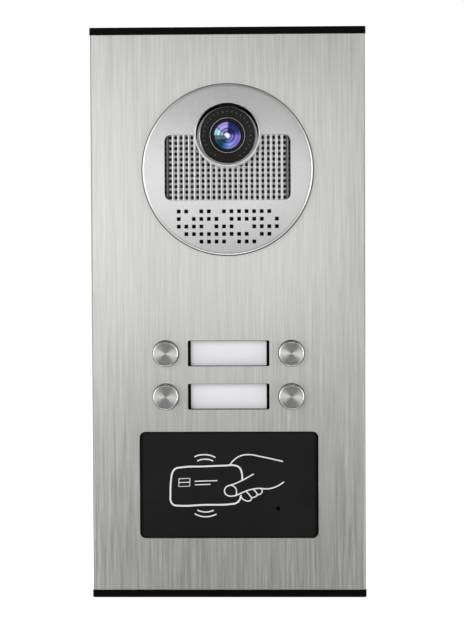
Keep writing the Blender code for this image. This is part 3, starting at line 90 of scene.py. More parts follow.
def deselectAll():
    leaveEdit()
    bpy.ops.object.select_all(action="DESELECT")


def pick(piece):
    deselectAll()
    piece.select_set(True)
    bpy.context.view_layer.objects.active = piece
    return piece


def settle(piece):        # place, turn and scale go into the mesh
    pick(piece)
    bpy.ops.object.transform_apply(location=True, rotation=True, scale=True)
    return piece


def newest(name):
    piece = bpy.context.view_layer.objects.active
    piece.name = name
    piece.data.name = name
    return piece


def editMode(piece, kind="FACE"):
    pick(piece)
    bpy.ops.object.mode_set(mode="EDIT")
    bpy.ops.mesh.select_mode(type=kind)
    bpy.ops.mesh.select_all(action="DESELECT")


def selectFaces(piece, test):        # test takes a face's centre and its normal
    editMode(piece, "FACE")
    leaveEdit()
    for face in piece.data.polygons:
        face.select = bool(test(face.center, face.normal))
    bpy.ops.object.mode_set(mode="EDIT")


def selectEdges(piece, test):        # test takes an edge's two ends
    editMode(piece, "EDGE")
    leaveEdit()
    points = piece.data.vertices
    for edge in piece.data.edges:
        first, second = edge.vertices
        edge.select = bool(test(points[first].co, points[second].co))
    bpy.ops.object.mode_set(mode="EDIT")


def applyModifier(piece, kind, **settings):
    pick(piece)
    modifier = piece.modifiers.new(kind.title(), kind)
    for key, value in settings.items():
        setattr(modifier, key, value)
    bpy.ops.object.modifier_apply(modifier=modifier.name)
    return piece


def combine(piece, tool, operation):        # the tool is used up
    applyModifier(piece, "BOOLEAN", operation=operation, object=tool, solver="EXACT")
    bpy.data.objects.remove(tool, do_unlink=True)
    return piece


def roundPiece(name, centre, profile, steps=96, closed=False):
    # a turned piece facing the front, by extruding and scaling a ring; profile is (radius, y) pairs
    deselectAll()
    bpy.ops.mesh.primitive_circle_add(
        vertices=steps,
        radius=profile[0][0],
        location=(centre.x, profile[0][1], centre.z),
        rotation=(math.pi / 2, 0, 0),
    )
    piece = settle(newest(name))
    editMode(piece, "VERT")
    bpy.ops.mesh.select_all(action="SELECT")
    radius, y = profile[0]
    for nextRadius, nextY in profile[1:]:
        bpy.ops.mesh.extrude_region_move(TRANSFORM_OT_translate={"value": (0, nextY - y, 0)})
        share = nextRadius / radius
        bpy.ops.transform.resize(
            value=(share, 1, share), center_override=(centre.x, nextY, centre.z)
        )
        radius, y = nextRadius, nextY
    bpy.ops.mesh.select_all(action="SELECT")
    bpy.ops.mesh.remove_doubles(threshold=weldReach)
    if not closed:
        bpy.ops.mesh.fill_holes(sides=0)
    bpy.ops.mesh.select_all(action="SELECT")
    bpy.ops.mesh.normals_make_consistent(inside=False)
    leaveEdit()
    return piece


def block(name, low, high, corner=0.0, steps=6):
    # a box with the four edges that run from front to back rounded
    deselectAll()
    size = [top - base for base, top in zip(low, high)]
    centre = [(base + top) / 2 for base, top in zip(low, high)]
    bpy.ops.mesh.primitive_cube_add(size=1, location=centre, scale=size)
    piece = settle(newest(name))
    if corner > 0:
        reach = size[1] * 0.5
        selectEdges(piece, lambda first, second: abs(first.y - second.y) > reach)
        bpy.ops.mesh.bevel(offset=corner, segments=steps, affect="EDGES")
        leaveEdit()
    return piece


def smooth(piece, angle=30):
    pick(piece)
    bpy.ops.object.shade_smooth_by_angle(angle=math.radians(angle))
    return piece


def softEdges(piece, width, segments=2, angle=35):        # rounds sharp edges, and flat faces stay flat
    applyModifier(
        piece,
        "BEVEL",
        width=width,
        segments=segments,
        limit_method="ANGLE",
        angle_limit=math.radians(angle),
        use_clamp_overlap=True,
    )
    return smooth(piece, angle=16)


def hold(piece, slotName, *replaced, body=housing, material=None):
    piece.data.materials.clear()
    piece.data.materials.append(material or finishes[slotName])
    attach(piece, body)
    if replaced:
        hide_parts(*replaced)
    return piece


class Finish:        # one material and short ways to add its nodes
    def __init__(self, name, color, roughness, metallic=0.0):
        self.material = bpy.data.materials.new(name)
        self.material.use_nodes = True
        self.tree = self.material.node_tree
        self.shader = self.tree.nodes["Principled BSDF"]
        self.set("Base Color", (*color, 1))
        self.set("Roughness", roughness)
        self.set("Metallic", metallic)
        self.coords = self.tree.nodes.new("ShaderNodeTexCoord").outputs["Object"]

    def set(self, socket, value):
        self.shader.inputs[socket].default_value = value

    def join(self, source, socket):
        self.tree.links.new(source, self.shader.inputs[socket])

    def node(self, kind, **settings):
        made = self.tree.nodes.new(kind)
        for key, value in settings.items():
            setattr(made, key, value)
        return made

    def stretched(self, scale, centre=(0, 0, 0)):
        mapping = self.node("ShaderNodeMapping", vector_type="POINT")
        mapping.inputs["Scale"].default_value = scale
        mapping.inputs["Location"].default_value = [-place * factor for place, factor in zip(centre, scale)]
        self.tree.links.new(self.coords, mapping.inputs["Vector"])
        return mapping.outputs["Vector"]

    def noise(self, scale, detail=4.0, rough=0.5):
        made = self.node("ShaderNodeTexNoise")
        made.inputs["Scale"].default_value = 1.0
        made.inputs["Detail"].default_value = detail
        made.inputs["Roughness"].default_value = rough
        self.tree.links.new(self.stretched(scale), made.inputs["Vector"])
        return made.outputs["Fac"]

    def ranged(self, source, low, high, fromLow=0.3, fromHigh=0.7):
        made = self.node("ShaderNodeMapRange")
        made.inputs["From Min"].default_value = fromLow
        made.inputs["From Max"].default_value = fromHigh
        made.inputs["To Min"].default_value = low
        made.inputs["To Max"].default_value = high
        self.tree.links.new(source, made.inputs["Value"])
        return made.outputs["Result"]

    def mixed(self, factor, first, second):        # two colours by a factor
        made = self.node("ShaderNodeMix", data_type="RGBA")
        self.tree.links.new(factor, made.inputs["Factor"])
        for socket, value in ((made.inputs["A"], first), (made.inputs["B"], second)):
            if hasattr(value, "is_linked"):
                self.tree.links.new(value, socket)
            else:
                socket.default_value = (*value, 1)
        return made.outputs["Result"]

    def math(self, operation, first, second=0.0):
        made = self.node("ShaderNodeMath", operation=operation)
        for socket, value in zip(made.inputs, (first, second)):
            if hasattr(value, "is_linked"):
                self.tree.links.new(value, socket)
            else:
                socket.default_value = value
        return made.outputs["Value"]

    def parts(self, vector):        # its X, Y and Z
        made = self.node("ShaderNodeSeparateXYZ")
        self.tree.links.new(vector, made.inputs["Vector"])
        return made.outputs

    def bump(self, source, strength, distance):
        made = self.node("ShaderNodeBump")
        made.inputs["Strength"].default_value = strength
        made.inputs["Distance"].default_value = distance
        self.tree.links.new(source, made.inputs["Height"])
        self.join(made.outputs["Normal"], "Normal")


grille = {        # the lamp insert: upright ribs with square holes in the channels between them
    "pitch": (2.75 * mm, 2.74 * mm),
    "count": (24, 12),
    "groove": 1.20 * mm,
    "slope": 0.26 * mm,
    "shoulder": 0.16 * mm,
    "depth": 0.65 * mm,
    "hole": 1.50 * mm,
    "thickness": 0.5 * mm,
    "sunk": 0.40 * mm,
    "edgeDrop": 0.8 * mm,
    "clearance": 16.0 * mm,        # the round cut that clears the lens
}
grilleStart = bezelAt.x - grille["pitch"][0] * (grille["count"][0] - 1) / 2        # first column
brushed = {
    "light": (0.80, 0.80, 0.765),
    "dark": (0.63, 0.63, 0.60),
    "corner": (0.30, 0.30, 0.29),        # painted shade: the two rounded corners are painted darker
    "cornerShadeStart": (68.6 * mm, 69.0 * mm),
    "cornerShadeEnd": (-44.3 * mm, -43.7 * mm),
    "metallic": 0.82,
    "roughness": (0.28, 0.40),
    "streak": (1900.0, 1900.0, 42.0),        # fine lines run up the panel
    "band": (640.0, 640.0, 15.0),
    "streakShare": 0.55,        # how much of the shade comes from the fine lines
    "bandShare": 0.45,
    "shadeRange": (0.36, 0.64),
    "anisotropy": 0.75,
    "bump": 0.10,
    "bumpDepth": 0.02 * mm,
}


def brushedMetal():
    finish = Finish("brushedMetal", brushed["light"], 0.36, brushed["metallic"])
    streaks = finish.noise(brushed["streak"], detail=3.0, rough=0.6)
    bands = finish.noise(brushed["band"], detail=4.0, rough=0.65)
    fine = finish.math("MULTIPLY", streaks, brushed["streakShare"])
    broad = finish.math("MULTIPLY", bands, brushed["bandShare"])
    both = finish.math("ADD", fine, broad)
    shade = finish.ranged(both, 0.0, 1.0, *brushed["shadeRange"])
    metal = finish.mixed(shade, brushed["dark"], brushed["light"])
    # painted shade: the panel's two rounded front corners are darkened
    parts = finish.parts(finish.coords)
    sideways = finish.math("ABSOLUTE", parts["X"])
    aside = finish.ranged(sideways, 0.0, 1.0, *brushed["cornerShadeStart"])
    ahead = finish.ranged(parts["Y"], 1.0, 0.0, *brushed["cornerShadeEnd"])
    corner = finish.math("MULTIPLY", aside, ahead)
    finish.join(finish.mixed(corner, metal, brushed["corner"]), "Base Color")
    finish.join(finish.ranged(streaks, *brushed["roughness"]), "Roughness")
    finish.bump(both, brushed["bump"], brushed["bumpDepth"])
    finish.set("Anisotropic", brushed["anisotropy"])
    # glints spread across the brushing, which runs up the panel
    across = finish.node("ShaderNodeVectorMath", operation="CROSS_PRODUCT")
    across.inputs[0].default_value = (0, 0, 1)
    finish.tree.links.new(finish.node("ShaderNodeNewGeometry").outputs["Normal"], across.inputs[1])
    finish.join(across.outputs["Vector"], "Tangent")
    return finish.material


paint = {
    "color": (0.885, 0.885, 0.885),
    "shade": (0.835, 0.835, 0.84),
    "metallic": 0.80,
    "roughness": (0.25, 0.33),
    "flake": 9000.0,
    "groove": (0.38, 0.38, 0.38),        # painted shade: the insert's sunk channels are painted darker
    "ridge": (0.42, 0.42, 0.42),        # the fine line down the middle of each rib
    "outerRibShadow": (0.13, 0.13, 0.13),        # painted shadow: the insert's two outer ribs are painted dark, for the shadow of the opening's lip
    "outerRibShadowStart": (29.2 * mm, 29.7 * mm),
    "cloud": 60.0,
    "fade": (0.01, 0.03),        # how softly a channel starts, in parts of the pitch
    "linePlace": (0.435, 0.465),        # where the fine line starts, in parts of the pitch
    "dashPitch": 1.37 * mm,        # the fine line is broken up along its length
    "dashRange": (0.3, 0.5),
    "dashFaint": 0.45,
    "bump": 0.05,
    "bumpDepth": 0.01 * mm,
}


def silverPaint(name="silverPaint", dim=1.0, grooves=None):
    color = tuple(part * dim for part in paint["color"])
    finish = Finish(name, color, 0.34, paint["metallic"])
    flakes = finish.noise((paint["flake"],) * 3, detail=1.0)
    clouds = finish.noise((paint["cloud"],) * 3, detail=3.0)
    shade = tuple(part * dim for part in paint["shade"])
    coat = finish.mixed(finish.ranged(clouds, 0, 1), shade, color)
    if grooves:
        coat = groovedCoat(finish, coat, *grooves)
    finish.join(coat, "Base Color")
    finish.join(finish.ranged(flakes, *paint["roughness"]), "Roughness")
    finish.bump(flakes, paint["bump"], paint["bumpDepth"])
    return finish.material


def groovedCoat(finish, coat, start, pitch, half):
    # start is the first column's place, and half is half a channel's width
    parts = finish.parts(finish.coords)
    fromStart = finish.math("SUBTRACT", parts["X"], start - pitch / 2)
    turns = finish.math("DIVIDE", fromStart, pitch)
    offCentre = finish.math("SUBTRACT", finish.math("FRACT", turns), 0.5)
    offset = finish.math("ABSOLUTE", offCentre)
    edge = half / pitch
    # painted shade: the channels between the ribs are darkened
    inside = finish.ranged(offset, 1.0, 0.0, edge - paint["fade"][0], edge + paint["fade"][1])
    coat = finish.mixed(inside, coat, paint["groove"])
    # painted shadow on the insert's two outer ribs
    sideways = finish.math("ABSOLUTE", parts["X"])
    outerShadow = finish.ranged(sideways, 0.0, 1.0, *paint["outerRibShadowStart"])
    rows = finish.math("FRACT", finish.math("DIVIDE", parts["Z"], paint["dashPitch"]))
    dashes = finish.ranged(rows, paint["dashFaint"], 1.0, *paint["dashRange"])
    line = finish.ranged(offset, 0.0, 1.0, *paint["linePlace"])
    coat = finish.mixed(finish.math("MULTIPLY", line, dashes), coat, paint["ridge"])
    return finish.mixed(outerShadow, coat, paint["outerRibShadow"])


turned = {        # fine rings cut by a lathe
    "color": (0.78, 0.78, 0.77),
    "dark": (0.80, 0.80, 0.79),
    "light": (0.97, 0.97, 0.96),
    "perMetre": 1000.0,        # distances from the axis are in millimetres
    "ringScale": 9.0,
    "ringDetail": 3.0,
    "roughness": (0.43, 0.51),
    "rimPolish": 0.26,        # how much less rough the rim is
    "rimFade": 0.2,        # the width in millimetres over which the polish starts
    "anisotropy": 0.95,
    "bump": 0.10,
    "bumpDepth": 0.02 * mm,
}


def turnedSteel(centre, rimStart):        # the rim starts this many millimetres out
    finish = Finish("turnedSteel", turned["color"], 0.5, 1.0)
    shifted = finish.stretched((turned["perMetre"], 0.0, turned["perMetre"]), centre)
    length = finish.node("ShaderNodeVectorMath", operation="LENGTH")
    finish.tree.links.new(shifted, length.inputs[0])
    fromAxis = length.outputs["Value"]
    rings = finish.node("ShaderNodeTexNoise", noise_dimensions="1D")
    rings.inputs["Scale"].default_value = turned["ringScale"]
    rings.inputs["Detail"].default_value = turned["ringDetail"]
    finish.tree.links.new(fromAxis, rings.inputs["W"])
    ring = rings.outputs["Fac"]
    finish.join(finish.mixed(finish.ranged(ring, 0, 1), turned["dark"], turned["light"]), "Base Color")
    polish = finish.ranged(fromAxis, 0.0, 1.0, rimStart, rimStart + turned["rimFade"])
    ringRoughness = finish.ranged(ring, *turned["roughness"])
    glossier = finish.math("MULTIPLY", polish, turned["rimPolish"])
    finish.join(finish.math("SUBTRACT", ringRoughness, glossier), "Roughness")
    finish.bump(ring, turned["bump"], turned["bumpDepth"])
    finish.set("Anisotropic", turned["anisotropy"])
    outward = finish.node("ShaderNodeVectorMath", operation="NORMALIZE")
    finish.tree.links.new(shifted, outward.inputs[0])
    finish.join(outward.outputs["Vector"], "Tangent")
    return finish.material


def plainPlastic(name, color, roughness, grain=2600.0, depth=0.02, shine=0.35):
    finish = Finish(name, color, roughness)
    finish.set("Specular IOR Level", shine)
    grains = finish.noise((grain,) * 3, 2.0)
    clouds = finish.noise((90.0, 90.0, 90.0), 3.0)
    dim = tuple(part * 0.82 for part in color)
    finish.join(finish.mixed(finish.ranged(clouds, 0, 1), dim, color), "Base Color")
    finish.join(finish.ranged(grains, roughness - 0.05, roughness + 0.07), "Roughness")
    finish.bump(grains, 0.25, depth * mm)
    return finish.material


def platedSteel(name, color, roughness):
    # zinc plate: cool grey with a faint crystal mottle
    finish = Finish(name, color, roughness, 1.0)
    cells = finish.node("ShaderNodeTexVoronoi")
    cells.inputs["Scale"].default_value = 1.0
    finish.tree.links.new(finish.stretched((320.0,) * 3), cells.inputs["Vector"])
    clouds = finish.noise((140.0,) * 3, 4.0)
    warm = tuple(part * share for part, share in zip(color, (0.86, 0.84, 0.80)))
    finish.join(finish.mixed(finish.ranged(clouds, 0, 1), warm, color), "Base Color")
    mottle = finish.ranged(cells.outputs["Distance"], roughness - 0.08, roughness + 0.1, 0, 1)
    finish.join(mottle, "Roughness")
    finish.bump(clouds, 0.08, 0.03 * mm)
    return finish.material


readerLook = {
    "color": (0.0095, 0.0095, 0.0095),
    "dark": (0.0085, 0.0085, 0.0085),
    "light": (0.0105, 0.0105, 0.0105),
    "slope": (0.002, 0.002, 0.002),        # painted shade: the sloped ends are painted a deeper black than the face
    "slopeShadeFade": 0.1 * mm,
    "roughness": (0.36, 0.46),
    "shine": 0.10,
    "bump": 0.25,
    "bumpDepth": 0.012 * mm,
}


def readerPlastic(centre, reach):
    finish = Finish("readerPlastic", readerLook["color"], 0.40)
    finish.set("Specular IOR Level", readerLook["shine"])
    grains = finish.noise((3400.0,) * 3, detail=2.0)
    clouds = finish.noise((50.0,) * 3, detail=3.0)
    face = finish.mixed(finish.ranged(clouds, 0, 1), readerLook["dark"], readerLook["light"])
    parts = finish.parts(finish.stretched((1.0, 1.0, 1.0), centre))
    aside = finish.math("ABSOLUTE", parts["X"])
    fade = readerLook["slopeShadeFade"]
    # painted shade on the window's two sloped ends
    shadedEnds = finish.ranged(aside, 0.0, 1.0, reach - fade, reach + fade)
    finish.join(finish.mixed(shadedEnds, face, readerLook["slope"]), "Base Color")
    finish.join(finish.ranged(grains, *readerLook["roughness"]), "Roughness")
    finish.bump(grains, readerLook["bump"], readerLook["bumpDepth"])
    return finish.material


def boardFinish(name, mask, track):
    # solder mask with faint tracks under it
    finish = Finish(name, mask, 0.35)
    finish.set("Specular IOR Level", 0.3)
    bricks = finish.node("ShaderNodeTexBrick")
    bricks.inputs["Scale"].default_value = 1.0
    bricks.inputs["Mortar Size"].default_value = 0.05
    finish.tree.links.new(finish.stretched((260.0, 0.0, 420.0)), bricks.inputs["Vector"])
    finish.join(finish.mixed(bricks.outputs["Fac"], mask, track), "Base Color")
    finish.bump(bricks.outputs["Fac"], 0.3, 0.03 * mm)
    return finish.material


def clearPlastic():
    finish = Finish("clearPlastic", (0.02, 0.02, 0.02), 0.06)
    finish.join(finish.ranged(finish.noise((70.0,) * 3, 2.0), 0.04, 0.09), "Roughness")
    finish.set("Alpha", 0.05)
    finish.set("Specular IOR Level", 0.3)
    return finish.material


cardStock = {
    "color": (0.86, 0.87, 0.90),
    "dark": (0.775, 0.775, 0.805),
    "light": (0.815, 0.815, 0.84),
    "fibre": (2200.0, 2200.0, 1400.0),
    "bump": 0.15,
    "bumpDepth": 0.02 * mm,
}


def cardPaper():
    finish = Finish("cardPaper", cardStock["color"], 0.7)
    fibres = finish.noise(cardStock["fibre"], detail=4.0, rough=0.7)
    shade = finish.ranged(fibres, 0, 1)
    finish.join(finish.mixed(shade, cardStock["dark"], cardStock["light"]), "Base Color")
    finish.bump(fibres, cardStock["bump"], cardStock["bumpDepth"])
    return finish.material


reflectionTints = (        # painted reflection: colour of the coated lens at each turn, from the right, counter-clockwise
    (0.00, (0.10, 0.10, 0.40)),
    (0.06, (0.02, 0.03, 0.12)),
    (0.235, (0.015, 0.02, 0.10)),
    (0.25, (0.34, 0.28, 0.66)),
    (0.385, (0.34, 0.30, 0.68)),
    (0.395, (0.01, 0.08, 0.12)),
    (0.415, (0.36, 0.62, 0.72)),
    (0.485, (0.34, 0.58, 0.66)),
    (0.50, (0.008, 0.07, 0.09)),
    (0.66, (0.006, 0.04, 0.07)),
    (0.72, (0.06, 0.14, 0.34)),
    (0.78, (0.20, 0.27, 0.66)),
    (0.90, (0.20, 0.16, 0.56)),
)
reflectionRings = (        # painted reflection: how bright each ring of the lens is painted, from the middle out, in parts of its radius
    (0.00, 1.0), (0.22, 0.9), (0.26, 0.12), (0.32, 0.10), (0.37, 0.75), (0.44, 0.55), (0.48, 0.15),
    (0.53, 0.30), (0.58, 0.9), (0.73, 1.0), (0.77, 0.35), (0.81, 0.8), (0.92, 1.0), (0.97, 0.25),
)


def ramp(finish, source, stops):
    made = finish.node("ShaderNodeValToRGB")
    finish.tree.links.new(source, made.inputs["Fac"])
    marks = made.color_ramp.elements
    while len(marks) < len(stops):
        marks.new(0.5)
    for mark, (place, color) in zip(marks, stops):
        mark.position = place
        mark.color = (*color, 1) if isinstance(color, tuple) else (color, color, color, 1)
    return made.outputs["Color"]


lensGlow = {
    "base": (0.05, 0.06, 0.2),
    "dark": (0.004, 0.005, 0.03),
    "middle": (0.72, 0.70, 1.0),        # painted highlight: the pale middle
    "highlightReach": (0.07, 0.20),
    # painted shade darkens the glass at its rim
    "edge": (0.002, 0.002, 0.004),
    "rimShadeStart": (0.95, 1.0),
    "strength": 0.22,        # painted glow: a little light of its own stands for the depth of the coating
    "coatRoughness": 0.02,
}


def coatedLens(centre, radius):
    # the lens's colours are painted reflection, with a painted highlight in the middle, painted shade at
    # the rim and a painted glow
    finish = Finish("coatedLens", lensGlow["base"], 0.08)
    parts = finish.parts(finish.stretched((1 / radius,) * 3, centre))
    across, up = parts["X"], parts["Z"]
    turn = finish.math("ARCTAN2", up, across)
    share = finish.math("FRACT", finish.math("ADD", finish.math("DIVIDE", turn, 2 * math.pi), 1.0))
    squared = finish.math("ADD", finish.math("MULTIPLY", across, across), finish.math("MULTIPLY", up, up))
    distance = finish.math("SQRT", squared)
    rings = ramp(finish, distance, reflectionRings)
    toned = finish.mixed(rings, lensGlow["dark"], ramp(finish, share, reflectionTints))
    glow = finish.ranged(distance, 1.0, 0.0, *lensGlow["highlightReach"])
    color = finish.mixed(glow, toned, lensGlow["middle"])
    rimShade = finish.ranged(distance, 0.0, 1.0, *lensGlow["rimShadeStart"])
    color = finish.mixed(rimShade, color, lensGlow["edge"])
    finish.join(color, "Base Color")
    finish.join(color, "Emission Color")
    finish.set("Emission Strength", lensGlow["strength"])
    finish.set("Coat Weight", 1.0)
    finish.set("Coat Roughness", lensGlow["coatRoughness"])
    return finish.material


def printInk(name, color):
    finish = Finish(name, color, 0.55)
    worn = finish.noise((900.0,) * 3, 3.0)
    faded = tuple(part * 0.93 for part in color)
    finish.join(finish.mixed(finish.ranged(worn, 0, 1), faded, color), "Base Color")
    return finish.material


grooveFacts = (grilleStart, grille["pitch"][0], grille["groove"] / 2)
finishes = {
    "housing_metal": brushedMetal(),
    "bezel_paint": silverPaint(),
    "grille_metal": silverPaint("grillePaint", grooves=grooveFacts),
    "trim_steel": platedSteel("trimSteel", (0.86, 0.86, 0.87), 0.16),
    "zinc_steel": platedSteel("zincSteel", (0.56, 0.57, 0.58), 0.38),
    "spring_steel": platedSteel("springSteel", (0.6, 0.6, 0.6), 0.3),
    "black_screw": platedSteel("blackScrew", (0.06, 0.06, 0.065), 0.4),
    "cap_plastic": plainPlastic("capPlastic", (0.0025, 0.0025, 0.003), 0.5, shine=0.06),
    "lens_plastic": plainPlastic("lensPlastic", (0.015, 0.0145, 0.0135), 0.42, 4000.0, 0.01, 0.15),
    "reader_plastic": readerPlastic(readerAt, readerReach),
    "inner_plastic": plainPlastic("innerPlastic", (0.003, 0.003, 0.003), 0.6, shine=0.05),
    "cover_plastic": plainPlastic("coverPlastic", (0.11, 0.115, 0.12), 0.5, 1800.0, 0.04),
    "clear_plastic": clearPlastic(),
    "card_paper": cardPaper(),
    "soft_rubber": plainPlastic("softRubber", (0.014, 0.014, 0.014), 0.75, 3000.0, 0.03),
    "circuit_board": boardFinish("greenBoard", (0.010, 0.045, 0.024), (0.022, 0.085, 0.045)),
    "copper_track": platedSteel("copperTrack", (0.72, 0.40, 0.24), 0.3),
    "magnet_metal": platedSteel("magnetMetal", (0.10, 0.10, 0.10), 0.45),
    "cone_paper": plainPlastic("conePaper", (0.012, 0.012, 0.012), 0.8, 1500.0, 0.05),
    "terminal_green": plainPlastic("terminalGreen", (0.03, 0.22, 0.09), 0.45, 1500.0, 0.02),
    "relay_blue": plainPlastic("relayBlue", (0.03, 0.08, 0.32), 0.4),
    "led_clear": plainPlastic("ledClear", (0.55, 0.58, 0.6), 0.15),
    "button_steel": platedSteel("buttonSteel", (0.75, 0.75, 0.75), 0.25),
    "lens_glass": plainPlastic("lensGlass", (0.02, 0.02, 0.05), 0.05),
}
printWhite = printInk("printWhite", (0.62, 0.63, 0.63))
printGrey = printInk("printGrey", (0.13, 0.13, 0.13))
print("finishes made:", len(finishes))


slots = {part["node"]: part["material_slot"] for part in frame["record"]["subparts"]}


def dressNodes():
    for name, node in nodes.items():
        node.data.materials.clear()
        node.data.materials.append(finishes[slots[name]])


dressNodes()
blackBoard = boardFinish("blackBoard", (0.003, 0.003, 0.003), (0.006, 0.006, 0.006))
smokedPlastic = plainPlastic("smokedPlastic", (0.004, 0.004, 0.004), 0.3, shine=0.1)
for name, finish in (("led_board", blackBoard), ("status_led", smokedPlastic)):
    nodes[name].data.materials[0] = finish

edgeWidths = {        # how far each machined or moulded part's edges are rounded
    "front_panel": 0.05 * mm,
    "top_end_cap": 0.35 * mm,
    "bottom_end_cap": 0.35 * mm,
    "rear_cover": 0.20 * mm,
    "wall_bracket": 0.20 * mm,
    "label_window_upper": 0.15 * mm,
    "label_window_lower": 0.15 * mm,
    "label_tray_upper": 0.10 * mm,
    "label_tray_lower": 0.10 * mm,
    "terminal_block": 0.15 * mm,
    "door_relay": 0.30 * mm,
}
nodeWeldReach = 0.000004        # a copied part's points are joined at this distance, in metres
flatAngle = 0.6        # degrees; faces nearer to flat than this are joined


def copyNode(name, suffix):
    source = nodes[name]
    piece = source.copy()
    piece.data = source.data.copy()
    piece.name = name + suffix
    piece.parent = None
    for key in list(piece.keys()):
        del piece[key]
    bpy.context.scene.collection.objects.link(piece)
    piece.hide_set(False)
    pick(piece)
    return piece


def refine(name, width):
    piece = copyNode(name, "_fine")
    if piece.data.has_custom_normals:
        bpy.ops.mesh.customdata_custom_splitnormals_clear()
    editMode(piece, "VERT")
    bpy.ops.mesh.select_all(action="SELECT")
    bpy.ops.mesh.remove_doubles(threshold=nodeWeldReach)
    bpy.ops.mesh.select_all(action="SELECT")
    bpy.ops.mesh.dissolve_limited(angle_limit=math.radians(flatAngle))
    leaveEdit()
    softEdges(piece, width)
    hold(piece, slots[name], name)


bezel = {
    "radius": 43.25 * mm,
    "rise": 1.6 * mm,
    "edge": 1.15 * mm,        # the rounding at the rim
    "flange": 1.2 * mm,
    "wall": 2.0 * mm,
    "skirtRadius": 41.6 * mm,
    "skirtWall": 1.7 * mm,
    "collarRadius": 16.4 * mm,
    "collarBore": 15.70 * mm,
    "boreLift": 0.80 * mm,        # the bore sits a little high of the lens, for a gap above it
    "grilleSize": (63.8 * mm, 33.1 * mm),
    "grilleRise": 1.05 * mm,
    "grilleCorner": 3.3 * mm,
    "softEdge": 0.22 * mm,
    "rings": 16,        # steps from the middle of the dome to its rim
    "rimSteps": 5,
    "rimGuard": 0.25 * mm,        # one more ring here keeps the dome's shading off the rim
    "collarBack": 2.8 * mm,
    "collarBevel": (0.25 * mm, 0.4 * mm),
    "boreFlare": (0.35 * mm, 1.2 * mm),
    "boreReach": (0.2 * mm, 1 * mm),        # how far the cut runs past the collar, front and back
}
soundHoles = {
    "size": 1.95 * mm,
    "pitch": 3.82 * mm,
    "columns": 14,
    "topDrop": 21.1 * mm,
    "reach": (4 * mm, 6 * mm),        # the cut's two ends, before and behind the flange's front
    "rows": ("1101101111111", "10111101111101", "11110111001111", "0111111111011", "00011110111"),
}


boreAt = lensAt + Vector((0, 0, bezel["boreLift"]))


def domeY(radius):        # the dome's front surface at a distance from its axis
    return flangeFront - bezel["rise"] * (1 - (radius / bezel["radius"]) ** 2)


sealThickness = 1.2 * mm
flangeBack = frontY - sealThickness
flangeFront = flangeBack - bezel["flange"]
cutNear = flangeFront - 6 * mm        # wide cuts through the bezel and insert run between these two
cutFar = flangeFront + 8 * mm


def bezelProfile():
    outer = bezel["radius"]
    edge = bezel["edge"]
    flat = outer - edge
    rings = bezel["rings"]
    profile = []
    for index in range(rings):
        reach = flat * (index + 1) / rings
        profile.append((reach, domeY(reach)))
    guard = flat - bezel["rimGuard"]
    profile.insert(-1, (guard, domeY(guard)))
    start = profile[-1][1]
    for index in range(1, bezel["rimSteps"] + 1):
        turn = math.pi / 2 * index / bezel["rimSteps"]
        profile.append((flat + edge * math.sin(turn), start + edge * (1 - math.cos(turn))))
    skirt = bezel["skirtRadius"]
    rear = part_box("camera_bezel")[1].y
    inner = skirt - bezel["skirtWall"]
    halfway = inner * 0.5
    profile += [(outer, flangeBack), (skirt, flangeBack), (skirt, rear), (inner, rear)]
    profile += [(inner, flangeFront + bezel["wall"]), (halfway, domeY(halfway) + bezel["wall"])]
    return profile


def makeBezel():
    shell = roundPiece("bezelShell", bezelAt, bezelProfile(), steps=144)
    smooth(shell, angle=30)
    pick(shell)
    bpy.ops.object.duplicate()
    uncut = newest("uncutShell")
    width, height = bezel["grilleSize"]
    low = bezelAt.z + bezel["grilleRise"] - height / 2
    opening = block(
        "grilleOpening",
        (-width / 2, cutNear, low),
        (width / 2, cutFar, low + height),
        bezel["grilleCorner"],
        steps=8,
    )
    combine(shell, opening, "DIFFERENCE")
    combine(shell, soundHoleTool(), "DIFFERENCE")
    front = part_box("camera_bezel")[0].y
    back = flangeFront + bezel["collarBack"]
    bevel, drop = bezel["collarBevel"]
    outer = bezel["collarRadius"]
    profile = [(outer - bevel, front), (outer, front + drop), (outer, back)]
    combine(shell, roundPiece("collar", lensAt, profile, steps=128), "UNION")
    flare, depth = bezel["boreFlare"]
    ahead, behind = bezel["boreReach"]
    inner = bezel["collarBore"]
    profile = [(inner + flare, front - ahead), (inner, front + depth), (inner, back + behind)]
    combine(shell, roundPiece("bore", boreAt, profile, steps=128), "DIFFERENCE")
    softEdges(shell, bezel["softEdge"], segments=2, angle=50)
    smooth(shell, angle=30)
    applyModifier(        # the dome keeps the shading that it had before the cuts
        shell,
        "DATA_TRANSFER",
        object=uncut,
        use_loop_data=True,
        data_types_loops={"CUSTOM_NORMAL"},
        loop_mapping="POLYINTERP_NEAREST",
        use_max_distance=True,
        max_distance=0.02 * mm,
    )
    bpy.data.objects.remove(uncut, do_unlink=True)
    hold(shell, "bezel_paint", "camera_bezel")


sealRing = {
    "outer": 0.30 * mm,        # past the bezel's edge
    "inner": 0.10 * mm,        # past its skirt
    "proud": 0.05 * mm,
    "swell": 0.12 * mm,
    "swellDrop": 0.2 * mm,
    "shoulder": 0.15 * mm,
}


def makeSeal():        # the rubber under the bezel shows as a thin dark line
    low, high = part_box("bezel_seal")
    outer = bezel["radius"] + sealRing["outer"]
    inner = bezel["skirtRadius"] + sealRing["inner"]
    widest = outer + sealRing["swell"]
    start = (outer, low.y - sealRing["proud"])
    seal = roundPiece(
        "bezelSeal",
        bezelAt,
        [
            start,
            (widest, low.y + sealRing["swellDrop"]),
            (widest, high.y),
            (inner, high.y),
            (inner, low.y),
            (outer - sealRing["shoulder"], low.y),
            start,
        ],
        steps=144,
        closed=True,
    )
    smooth(seal, angle=40)
    hold(seal, "soft_rubber", "bezel_seal")


def joined(pieces):
    pick(pieces[0])
    for piece in pieces:
        piece.select_set(True)
    bpy.ops.object.join()
    return pieces[0]


